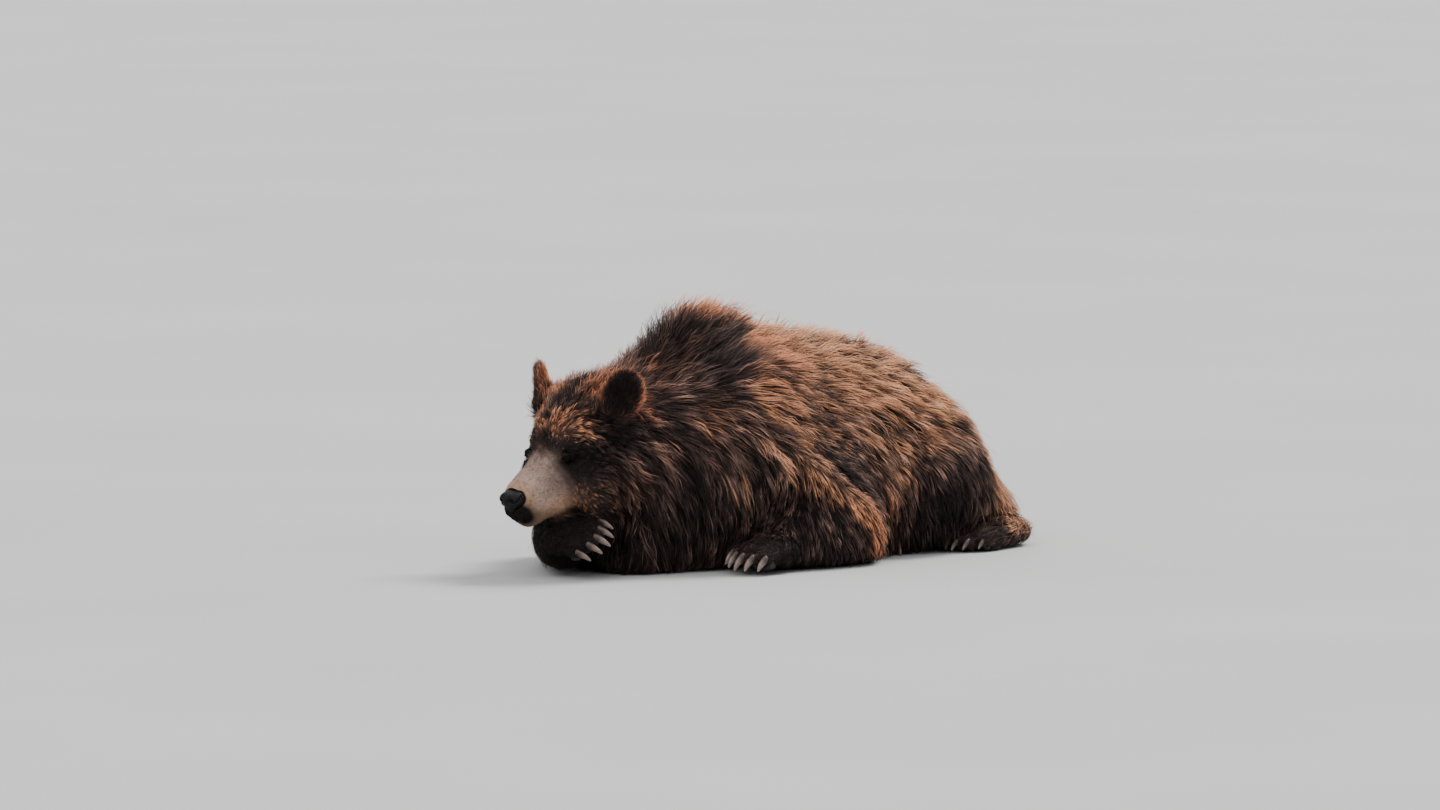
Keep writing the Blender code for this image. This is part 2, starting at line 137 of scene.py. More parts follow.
def head_vectors(vectors):
    """Directions in the head frame, as directions in the row frame."""
    return np.asarray(vectors) @ np.array(HEAD.to_3x3()).T


def from_head(points):
    return head_vectors(points) + np.array(HEAD.translation)


def ramp(value, low, high):
    """0 below low, 1 above high and an eased step between; low may be above high."""
    t = np.clip((value - low) / (high - low), 0, 1)
    return t * t * (3 - 2 * t)


def bump(points, centre, radii):
    """1 at the centre, fading to 0 over the radii."""
    q = (points - np.array(centre)) / np.array(radii)
    return np.exp(-(q * q).sum(1))


def bell(value, wide):
    """1 at 0, fading to 0 over wide on both sides."""
    return np.exp(-((value / wide) ** 2))


def unit(vectors):
    return vectors / np.maximum(1e-9, np.linalg.norm(vectors, axis=1, keepdims=True))


def mix(a, b, share):
    share = np.asarray(share)
    return a + (b - a) * (share[:, None] if share.ndim == 1 else share)


def paint(field, value, where):
    """The field drawn towards a value, fully where where is 1 or more and not at all where it is 0."""
    return field + (value - field) * np.clip(where, 0, 1)


def drift(points, scale, seed):
    """A smooth wandering number from about -1 to 1 at each point."""
    total = np.zeros(len(points))
    turns = np.random.default_rng(seed)
    for _ in range(5):
        way = turns.normal(size=3)
        way *= 2 * math.pi / (scale * np.linalg.norm(way)) * turns.uniform(0.6, 1.6)
        total += np.sin(points @ way + turns.uniform(0, 6.28))
    return total / 2.6


# ---------------------------------------------------------------- mesh helpers


def add_object(name, data):
    made = bpy.data.objects.new(name, data)
    SCENE.collection.objects.link(made)
    return made


def mesh_of(bm, name):
    """The bmesh as a mesh; the bmesh itself is freed."""
    mesh = bpy.data.meshes.new(name)
    bm.to_mesh(mesh)
    bm.free()
    return mesh


def evaluated_mesh(obj):
    graph = bpy.context.evaluated_depsgraph_get()
    return bpy.data.meshes.new_from_object(obj.evaluated_get(graph))


def settle(obj):
    """Makes the modifiers' result the object's own mesh."""
    made, old = evaluated_mesh(obj), obj.data
    obj.modifiers.clear()
    obj.data = made
    bpy.data.meshes.remove(old)
    return obj


def welded_copy(node, grow):
    """A bmesh of a CAD node with its corners joined, moved out by grow."""
    bm = bmesh.new()
    bm.from_mesh(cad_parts[node].data)
    bmesh.ops.remove_doubles(bm, verts=bm.verts, dist=0.00002)
    bm.normal_update()
    for vertex in bm.verts:
        vertex.co += vertex.normal * grow
    return bm


def joined(name, bmeshes):
    whole = bmesh.new()
    for bm in bmeshes:
        piece = mesh_of(bm, "piece")
        whole.from_mesh(piece)
        bpy.data.meshes.remove(piece)
    return add_object(name, mesh_of(whole, name))


def remesh(obj, cell):
    step = obj.modifiers.new("fuse", "REMESH")
    step.mode = "VOXEL"
    step.voxel_size = cell
    return settle(obj)


def vertex_vectors(mesh, field):
    values = np.empty(len(mesh.vertices) * 3, np.float32)
    mesh.vertices.foreach_get(field, values)
    return values.reshape(-1, 3).astype(float)


def points_of(mesh):
    return vertex_vectors(mesh, "co")


def normals_of(mesh):
    return vertex_vectors(mesh, "normal")


def edges_of(mesh):
    pairs = np.empty(len(mesh.edges) * 2, np.int32)
    mesh.edges.foreach_get("vertices", pairs)
    return pairs.reshape(-1, 2)


def move_points(mesh, co):
    mesh.vertices.foreach_set("co", co.astype(np.float32).ravel())
    mesh.update()


def spread(values, edges, rounds, hold=0.0):
    """Evens out values over the mesh; hold says how much of itself each point keeps."""
    flat = values.reshape(len(values), -1).astype(float)
    count = np.bincount(edges.ravel(), minlength=len(flat))[:, None]
    for _ in range(rounds):
        near = np.empty_like(flat)
        for k in range(flat.shape[1]):
            near[:, k] = np.bincount(edges[:, 0], flat[edges[:, 1], k], len(flat))
            near[:, k] += np.bincount(edges[:, 1], flat[edges[:, 0], k], len(flat))
        flat = hold * flat + (1 - hold) * near / np.maximum(count, 1)
    return flat.reshape(values.shape)


def store(mesh, name, values, kind="FLOAT"):
    old = mesh.attributes.get(name)
    if old:
        mesh.attributes.remove(old)
    field = {"FLOAT": "value", "FLOAT_VECTOR": "vector", "FLOAT_COLOR": "color"}[kind]
    made = mesh.attributes.new(name, kind, "POINT")
    made.data.foreach_set(field, np.ascontiguousarray(values, np.float32).ravel())


def store_colour(mesh, colour):
    rgba = np.concatenate((colour, np.ones((len(colour), 1))), 1)
    store(mesh, "coat_colour", rgba, "FLOAT_COLOR")


def read(mesh, name, width=1):
    attribute = mesh.attributes[name]
    field = "vector" if width == 3 else "value"
    out = np.empty(len(attribute.data) * width, np.float32)
    attribute.data.foreach_get(field, out)
    return out.reshape(-1, width).astype(float) if width > 1 else out.astype(float)


def mesh_from_arrays(name, points, triangles):
    """A triangle mesh from arrays, quicker than a list of faces."""
    mesh = bpy.data.meshes.new(name)
    mesh.vertices.add(len(points))
    mesh.vertices.foreach_set("co", points.astype(np.float32).ravel())
    mesh.loops.add(len(triangles) * 3)
    mesh.loops.foreach_set("vertex_index", triangles.astype(np.int32).ravel())
    mesh.polygons.add(len(triangles))
    mesh.polygons.foreach_set("loop_start", np.arange(0, len(triangles) * 3, 3, dtype=np.int32))
    mesh.polygons.foreach_set("loop_total", np.full(len(triangles), 3, np.int32))
    mesh.update(calc_edges=True)
    return mesh


def hand_over(piece, finish, slot, *nodes):
    """Gives a finished piece its material and its body, and hides the nodes it stands for. slot is not
    used.
    """
    piece.data.materials.append(finish)
    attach(piece, "root")
    if nodes:
        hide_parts(*nodes)


# ---------------------------------------------------------------- the skin


def node_under(points):
    """For each point, the number of the flesh node that is nearest to it."""
    corners, faces, owner = [], [], []
    for number, node in enumerate(FLESH_NODES):
        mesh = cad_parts[node].data
        first = len(corners)
        corners += [v.co.copy() for v in mesh.vertices]
        faces += [[first + i for i in p.vertices] for p in mesh.polygons]
        owner += [number] * len(mesh.polygons)
    tree = BVHTree.FromPolygons(corners, faces)
    return np.array([owner[tree.find_nearest(Vector(p))[2]] for p in points])


def belongs(owner, *nodes):
    return np.isin(owner, [FLESH_NODES.index(node) for node in nodes])


def refine(obj, chosen, rounds):
    """Halves the cells where chosen(points in the head frame) is true."""
    for turn in range(rounds):
        bm = bmesh.new()
        bm.from_mesh(obj.data)
        bm.verts.ensure_lookup_table()
        points = np.array([v.co for v in bm.verts])
        inside = chosen(to_head(points), turn)
        edges = [e for e in bm.edges if inside[e.verts[0].index] and inside[e.verts[1].index]]
        bmesh.ops.subdivide_edges(bm, edges=edges, cuts=1, use_grid_fill=True)
        bmesh.ops.triangulate(bm, faces=[f for f in bm.faces if len(f.verts) > 4])
        bm.to_mesh(obj.data)
        bm.free()


def eye_zone(local, turn):
    reach = (0.048, 0.026)[turn]
    near = np.zeros(len(local), bool)
    for _, side in SIDES:
        centre = np.array((side * EYE_SIDE, EYE_BACK, EYE_UP))
        near |= np.linalg.norm(local - centre, axis=1) < reach
    return near


def face_zone(local, _):
    return (local[:, 1] < 0.215) & (local[:, 2] > -0.13) & (np.abs(local[:, 0]) < 0.14)


def ear_frame(side):
    turn = Euler([math.radians(a) for a in (-12, 32 * side, 36 * side)]).to_matrix().to_4x4()
    return HEAD @ Matrix.Translation((EAR_SIDE * side, EAR_BACK, EAR_UP)) @ turn


def in_ear(points, side):
    """The points in the ear's frame, and how far out of its bowl each is, with 1 at the bowl's edge."""
    back = np.array(ear_frame(side).inverted())
    local = points @ back[:3, :3].T + back[:3, 3]
    return local, np.hypot(local[:, 0] / 0.033, (local[:, 2] - 0.031) / 0.047)


def coat_depth(points, share):
    """How far the skin lies under the coat's tips; share[node] is each part's pull at the points."""
    local = to_head(points)
    bear = points - BEAR_ORIGIN
    depth = np.full(len(points), 0.034)
    hump = bump(bear, (0, 0.0, 0.52), (0.22, 0.26, 0.16))
    depth += 0.010 * hump
    back = local[:, 1]
    places = (0.0, 0.09, 0.14, 0.18, 0.23, 0.30, 0.36)
    head = np.interp(back, places, (0.0010, 0.0016, 0.003, 0.008, 0.015, 0.023, 0.034))
    cheek = ramp(np.abs(local[:, 0]), 0.06, 0.13) * ramp(back, 0.17, 0.25) * ramp(local[:, 2], 0.09, 0.02)
    head = head + 0.012 * cheek
    parts = (
        ("neck", 0.038), ("legs", 0.018), ("tail", 0.016), ("head", head), ("ears", 0.0045),
        ("paws", 0.006),
    )
    for part, under in parts:
        depth = paint(depth, under, share[part])
    return depth * np.interp(points[:, 2], (0.0, 0.07), (0.25, 1.0))


def part_shares(mesh):
    """The node under each point, and how far it belongs to each part, with soft borders."""
    owner = node_under(points_of(mesh))
    edges = edges_of(mesh)
    groups = {
        "head": ["head"], "ears": EAR_NODES, "neck": ["neck"], "legs": LEG_NODES,
        "paws": PAW_NODES, "tail": ["tail"],
    }
    shares = {}
    for name, nodes in groups.items():
        member = belongs(owner, *nodes).astype(float)
        shares[name] = spread(member, edges, 3 if name in ("ears", "paws") else 8, 0.3)
    return owner, shares


def line_distance(points, line):
    """How far each point is from a line of straight lengths."""
    nearest = np.full(len(points), 9.0)
    for a, b in zip(line, line[1:]):
        run = b - a
        t = np.clip(((points - a) @ run) / (run @ run), 0, 1)
        nearest = np.minimum(nearest, np.linalg.norm(points - a - t[:, None] * run, axis=1))
    return nearest


def along_line(points, line, wide):
    """1 on a line of straight lengths, fading to 0 over wide."""
    return bell(line_distance(points, line), wide)


# The edge of the left arm over the flank, from the shoulder down to the elbow, in the bear frame. It and
# the crease and forearm fold below are sculpted, with a painted highlight coloured on the crest and painted
# shade in both folds.
ARM_CREST = np.array((
    (0.285, -0.060, 0.315), (0.318, 0.030, 0.245), (0.345, 0.118, 0.172), (0.360, 0.188, 0.115),
    (0.358, 0.205, 0.040),
))
ARM_CREASE = ARM_CREST + np.array((-0.008, 0.030, 0.020))
# Lines down the mane where the coat is painted pale, a painted highlight along the locks' tips.
MANE_HIGHLIGHTS = np.array(((0.128, -0.328, 0.375), (0.154, -0.295, 0.298), (0.163, -0.298, 0.212)))
FOREARM_FOLD = np.array(((0.300, -0.040, 0.150), (0.330, 0.020, 0.158), (0.338, 0.070, 0.140)))
GROIN = np.array(((0.335, 0.385, 0.190), (0.325, 0.392, 0.110), (0.300, 0.400, 0.030)))


def off_nose(local):
    """How far out of the nose pad each point is, with 1 at its edge."""
    return np.linalg.norm((local - NOSE_CENTRE) / NOSE_RADII, axis=1)


# Where the lips meet, on the left side, in the head frame.
MOUTH_LINE = np.array((
    (0.000, 0.026, -0.062), (0.016, 0.032, -0.066), (0.029, 0.050, -0.072), (0.037, 0.080, -0.076),
    (0.047, 0.115, -0.073), (0.060, 0.145, -0.064),
))


def folded_side(points):
    """The points with both sides laid on the left one."""
    return np.stack((np.abs(points[:, 0]), points[:, 1], points[:, 2]), 1)


def shape_ears(co, share):
    """Brings the ears forward and makes them narrower and taller."""
    co = co + head_vectors(np.array((0, -EAR_FORWARD, 0))) * share[:, None]
    for _, side in SIDES:
        local, _ = in_ear(co, side)
        here = share * (np.linalg.norm(local, axis=1) < 0.12)
        change = local * np.array((-0.08, 0.0, 0.05)) * here[:, None]
        co = co + change @ np.array(ear_frame(side).to_3x3()).T
    return co


def add_pushes(push, points, pushes):
    """Adds soft pushes: each has its centre, its radii and how far it goes."""
    for centre, radii, amount in pushes:
        push = push + amount * bump(points, centre, radii)
    return push


def sculpt_body(co, normal):
    """Folds behind the arm and over the forearm, hollows before thigh and hump, and a fuller haunch."""
    bear = co - BEAR_ORIGIN
    side = folded_side(bear)
    push = -0.032 * along_line(bear, ARM_CREASE, 0.028)
    push += 0.012 * along_line(bear, ARM_CREST, 0.024)
    push -= 0.012 * along_line(bear, FOREARM_FOLD, 0.018)
    push -= 0.012 * along_line(side, GROIN, 0.024)
    push = add_pushes(push, side, (
        ((0.30, 0.61, 0.20), (0.09, 0.08, 0.085), 0.022),
        ((0.33, 0.645, 0.085), (0.06, 0.06, 0.045), 0.020),
        ((0.29, 0.435, 0.045), (0.05, 0.055, 0.045), 0.020),
        ((0.07, -0.17, 0.50), (0.09, 0.10, 0.09), -0.011),
    ))
    return co + normal * push[:, None]


def sculpt_face(co, normal):
    """Brows, the stop, the lips' pads and the mouth's line, as pushes along the normals."""
    local = to_head(co)
    folded = folded_side(local)
    push = add_pushes(np.zeros(len(co)), folded, (
        ((0.046, 0.180, 0.084), (0.028, 0.022, 0.014), 0.0055),
        ((0.000, 0.172, 0.078), (0.016, 0.032, 0.020), -0.0045),
        ((0.040, 0.128, 0.036), (0.012, 0.022, 0.012), -0.0030),
        ((0.034, 0.060, -0.040), (0.014, 0.030, 0.018), 0.0035),
        ((0.024, 0.100, 0.032), (0.012, 0.040, 0.012), 0.0016),
        ((0.075, 0.190, 0.012), (0.020, 0.028, 0.016), 0.0040),
        ((0.066, 0.140, -0.030), (0.014, 0.026, 0.020), -0.0030),
        ((0.000, 0.060, -0.086), (0.022, 0.026, 0.012), 0.0025),
    ))
    far = line_distance(folded, MOUTH_LINE)
    push += -0.0034 * bell(far, 0.0032) + 0.0010 * bell(far - 0.007, 0.004)
    philtrum = bell(local[:, 0], 0.0022) * ramp(local[:, 1], 0.055, 0.040)
    push -= 0.0020 * philtrum * ramp(local[:, 2], -0.026, -0.034)
    push -= 0.0030 * ramp(off_nose(local), 1.25, 1.0)
    return co + normal * push[:, None]


def eye_axes(side):
    """Out of the eye, along its slit and across it, in the head frame."""
    out = np.array((0.66 * side, -0.70, 0.22))
    out /= np.linalg.norm(out)
    along = np.cross(np.array((0, 0, 1.0)), out)
    along = along / np.linalg.norm(along) + np.array((0, 0, 0.16)) * side
    along -= out * (along @ out)
    along /= np.linalg.norm(along)
    return out, along, np.cross(out, along)


def eye_centre(side):
    out, _, _ = eye_axes(side)
    return np.array((side * EYE_SIDE, EYE_BACK, EYE_UP)) + out * EYE_FORWARD


def shape_lids(co):
    """Draws the skin over the eyeball as lids, and sinks it inside the opening."""
    local = to_head(co)
    for _, side in SIDES:
        centre = eye_centre(side)
        out, along, across = eye_axes(side)
        away = local - centre
        depth, wide, tall = away @ out, away @ along, away @ across
        tall = tall + LID_DROP
        round_off = np.hypot(wide, tall)
        oval = np.hypot(wide / LID_WIDE, tall / LID_TALL)
        near = (depth > -0.030) & (round_off < 0.040)
        shell = EYEBALL + LID_THICK
        lid = np.sqrt(np.maximum(shell**2 - np.minimum(round_off, shell * 0.92) ** 2, 0))
        rim = 0.0005 * bell(oval - 1.14, 0.14)
        crease = -0.0012 * bell(oval - 1.75, 0.20) * (tall > 0)
        target = lid + rim + crease
        hug = ramp(oval, 2.6, 1.25) * ramp(round_off, 0.030, 0.012)
        sunk = ramp(oval, 1.06, 0.94)
        moved = paint(depth, target, hug)
        moved = paint(moved, 0.0, sunk)
        local[near] += (moved - depth)[near, None] * out
    return from_head(local)


def make_skin():
    skin = joined("bear_skin", [welded_copy(n, SKIN_GROW) for n in FLESH_NODES])
    remesh(skin, SKIN_CELL)
    refine(skin, face_zone, 1)
    refine(skin, eye_zone, 2)
    mesh = skin.data
    edges = edges_of(mesh)
    _, shares = part_shares(mesh)
    co = points_of(mesh)
    keep = np.clip(shares["paws"] + 0.6 * shares["ears"], 0, 0.85)
    local = to_head(co)
    keep = np.maximum(keep, 0.65 * ramp(local[:, 1], 0.24, 0.16))
    for _ in range(14):
        co = mix(spread(co, edges, 1, 0.3), co, keep)
    co = shape_ears(co, shares["ears"])
    move_points(mesh, co)
    depth = spread(coat_depth(co, shares), edges, 6)
    pulls = 4
    for _ in range(pulls):
        co = co - normals_of(mesh) * depth[:, None] / pulls
        co = mix(spread(co, edges, 1, 0.4), co, np.maximum(keep, 0.3))
        move_points(mesh, co)
    co = sculpt_body(points_of(mesh), normals_of(mesh))
    move_points(mesh, co)
    co = sculpt_face(points_of(mesh), normals_of(mesh))
    co = shape_lids(co)
    co[:, 2] = np.maximum(co[:, 2], FLOOR_CLEAR)
    move_points(mesh, co)
    mesh.shade_smooth()
    return skin


# ---------------------------------------------------------------- the coat's lie, length and colour


# Where on the bear, and the way the hair runs there; the left side, which the right one mirrors.
BODY_GUIDES = (
    ((0.00, 0.00, 0.58), (0.00, 0.93, 0.35)),
    ((0.00, -0.25, 0.47), (0.00, 0.88, 0.45)),
    ((0.13, -0.26, 0.36), (0.10, 0.86, -0.42)),
    ((0.20, -0.28, 0.22), (0.00, 0.25, -0.96)),
    ((0.16, -0.34, 0.28), (0.05, 0.40, -0.90)),
    ((0.10, -0.42, 0.10), (0.05, 0.20, -0.98)),
    ((0.20, 0.02, 0.44), (0.10, 0.93, -0.28)),
    ((0.27, -0.02, 0.32), (0.00, 0.76, -0.64)),
    ((0.26, -0.20, 0.15), (0.00, 0.22, -0.97)),
    ((0.34, 0.10, 0.20), (0.00, 0.70, -0.72)),
    ((0.00, 0.40, 0.52), (0.00, 1.00, -0.05)),
    ((0.20, 0.34, 0.43), (0.06, 0.78, -0.62)),
    ((0.29, 0.38, 0.30), (0.00, 0.58, -0.81)),
    ((0.30, 0.36, 0.12), (0.00, 0.22, -0.97)),
    ((0.00, 0.68, 0.40), (0.00, 0.85, -0.52)),
    ((0.22, 0.62, 0.30), (0.05, 0.60, -0.80)),
    ((0.10, 0.77, 0.20), (0.05, 0.25, -0.97)),
    ((0.33, 0.50, 0.14), (0.05, 0.36, -0.93)),
    ((0.31, 0.68, 0.10), (0.05, 0.62, -0.78)),
    ((0.36, 0.18, 0.09), (0.10, 0.42, -0.90)),
    ((0.32, 0.02, 0.09), (0.05, 0.05, -0.99)),
    ((0.30, -0.06, 0.12), (0.00, -0.35, -0.93)),
    ((0.28, -0.16, 0.05), (0.00, -0.97, -0.20)),
    ((0.28, 0.56, 0.03), (0.00, -0.98, -0.20)),
)
HEAD_GUIDES = (
    ((0.000, 0.080, 0.030), (0.00, 1.00, 0.12)),
    ((0.040, 0.090, -0.020), (0.10, 0.95, -0.22)),
    ((0.000, 0.165, 0.075), (0.00, 0.85, 0.50)),
    ((0.035, 0.172, 0.090), (0.45, 0.65, 0.60)),
    ((0.078, 0.185, 0.078), (0.80, 0.55, -0.20)),
    ((0.085, 0.210, 0.095), (0.78, 0.50, -0.38)),
    ((0.100, 0.215, 0.050), (0.50, 0.60, -0.62)),
    ((0.090, 0.180, 0.020), (0.35, 0.75, -0.55)),
    ((0.085, 0.180, -0.020), (0.20, 0.70, -0.68)),
    ((0.105, 0.240, -0.030), (0.10, 0.30, -0.95)),
    ((0.120, 0.255, 0.050), (0.25, 0.50, -0.83)),
    ((0.000, 0.250, 0.140), (0.00, 0.95, 0.30)),
    ((0.050, 0.215, 0.130), (0.50, 0.84, 0.20)),
    ((0.085, 0.250, 0.140), (0.30, 0.80, 0.50)),
    ((0.060, 0.150, -0.070), (0.10, 0.80, -0.55)),
    ((0.000, 0.200, -0.110), (0.00, 0.60, -0.80)),
    ((0.000, 0.050, -0.095), (0.00, 0.90, -0.40)),
)
PAW_FLOW = {
    "forepaw_left": (-0.05, -1.00, -0.10),
    "forepaw_right": (1.00, -0.05, -0.05),
    "forearm_right": (0.60, -0.35, -0.70),
    "hindpaw_left": (0.05, -1.00, -0.05),
    "hindpaw_right": (-0.05, -1.00, -0.05),
    "tail": (0.00, 0.30, -0.95),
}


def follow_guides(points, guides, reach):
    """The guides' directions at the points, each weighing more the nearer it is."""
    total = np.zeros((len(points), 3))
    for where, way in guides:
        for side in (1, -1):
            flip = np.array((side, 1, 1))
            away = ((points - np.array(where) * flip) ** 2).sum(1)
            total += (np.array(way) * flip) / (away[:, None] + reach**2) ** 2
    return unit(total)


def lie_of_coat(mesh, owner):
    """The way the hair runs at each point of the skin, along the surface."""
    co, normal, edges = points_of(mesh), normals_of(mesh), edges_of(mesh)
    flow = follow_guides(co - BEAR_ORIGIN, BODY_GUIDES, 0.04)
    over_face = head_vectors(follow_guides(to_head(co), HEAD_GUIDES, 0.012))
    flow = np.where(belongs(owner, "head")[:, None], over_face, flow)
    for node, way in PAW_FLOW.items():
        flow[belongs(owner, node)] = way
    for label, side in SIDES:
        local, _ = in_ear(co, side)
        outward = np.stack((local[:, 0], np.full(len(co), -0.004), local[:, 2] + 0.025), 1)
        turn = np.array(ear_frame(side).to_3x3())
        here = belongs(owner, f"ear_{label}")
        flow[here] = (unit(outward) @ turn.T)[here]
    flow = spread(flow, edges, 8, 0.3)
    flow -= normal * (flow * normal).sum(1, keepdims=True)
    return unit(flow)


def point_tree(points):
    tree = KDTree(len(points))
    for i, p in enumerate(points):
        tree.insert(p, i)
    tree.balance()
    return tree


def streaks(co, flow):
    """Noise drawn out along the lie of the coat, so that light and dark run in long streaks."""
    tree = point_tree(co)
    upstream = np.array([tree.find(p)[1] for p in co - flow * STREAK_STEP])
    noise = np.random.default_rng(31).normal(size=len(co))
    total, here = np.zeros(len(co)), np.arange(len(co))
    for _ in range(STREAK_STEPS):
        total += noise[here]
        here = upstream[here]
    return total


def near_tail(bear):
    """1 on and round the tail, where the coat lies smooth."""
    return np.clip(1.6 * bump(bear, (0, 0.78, 0.24), (0.08, 0.09, 0.11)), 0, 1)


def hair_habit(co, shares):
    """The hair's length at each point, and as shares how loose, how upright and how far it just hangs."""
    local, bear = to_head(co), co - BEAR_ORIGIN
    x, y, z = folded_side(bear).T
    face_side = folded_side(local)
    hx, hy, hz = face_side.T
    length = np.full(len(co), 0.082)
    length += 0.018 * bump(bear, (0, -0.02, 0.54), (0.22, 0.26, 0.14))
    length = paint(length, 0.090, shares["neck"])
    length = paint(length, 0.046, shares["legs"])
    length += 0.020 * shares["legs"] * ramp(y, 0.35, 0.45)
    length = paint(length, 0.060, shares["tail"])
    places = (0.0, 0.07, 0.12, 0.155, 0.18, 0.21, 0.25, 0.31, 0.37)
    head = np.interp(hy, places, (0.003, 0.0045, 0.007, 0.010, 0.022, 0.030, 0.034, 0.048, 0.070))
    cheek = ramp(hx, 0.06, 0.12) * ramp(hy, 0.18, 0.25) * ramp(hz, 0.08, 0.0)
    head = (head + 0.026 * cheek) * (1 - 0.55 * eye_patch(face_side))
    length = paint(length, head, shares["head"])
    length = paint(length, 0.021, shares["ears"])
    length = paint(length, 0.013, shares["paws"])
    length += 0.030 * shares["paws"] * ramp(y, 0.44, 0.58)
    nape = ramp(x, 0.12, 0.05) * ramp(y, -0.40, -0.34) * ramp(z, 0.34, 0.40)
    crest = bump(bear, (0, -0.02, 0.60), (0.16, 0.16, 0.07))
    back = ramp(y, 0.05, 0.15) * ramp(x, 0.22, 0.10) * ramp(z, 0.36, 0.44)
    crown = ramp(hy, 0.20, 0.25) * ramp(hx, 0.11, 0.07) * ramp(hz, 0.10, 0.14) * shares["head"]
    rump = ramp(y, 0.60, 0.70)
    loose = (0.6 * nape, 0.7 * crest, 0.5 * back, 0.8 * crown, 0.5 * rump, shares["ears"])
    loose = np.maximum.reduce(loose)
    tail = near_tail(bear)
    loose *= 1 - tail
    brow = bump(face_side, (0.055, 0.200, 0.105), (0.045, 0.035, 0.035))
    stand = (0.10 * nape, 0.13 * crest, 0.26 * crown, 0.18 * brow, 0.04 * back, 0.10 * rump)
    stand = np.maximum.reduce(stand)
    stand *= 1 - tail
    for _, side in SIDES:
        place, ring = in_ear(co, side)
        rim = shares["ears"] * ramp(ring, 0.80, 1.05) * ramp(place[:, 2], -0.02, 0.03)
        stand = np.maximum(stand, 0.50 * rim * (np.linalg.norm(place, axis=1) < 0.10))
    hang = ramp(z, 0.115, 0.070) * ramp(y, 0.20, 0.26) * ramp(y, 0.66, 0.60) * (1 - shares["paws"])
    return length, loose, stand, hang


def eye_patch(face_side):
    """1 on the nearly black fur round and behind each eye."""
    return np.clip(1.5 * bump(face_side, (0.080, 0.172, 0.034), (0.042, 0.046, 0.036)), 0, 1)


def paint_marks(level, red, marks, share=1.0):
    """Lays marks over one another: each has its paleness, its redness and where it is."""
    for pale, rust, where in marks:
        level, red = paint(level, pale, where * share), paint(red, rust, where * share)
    return level, red


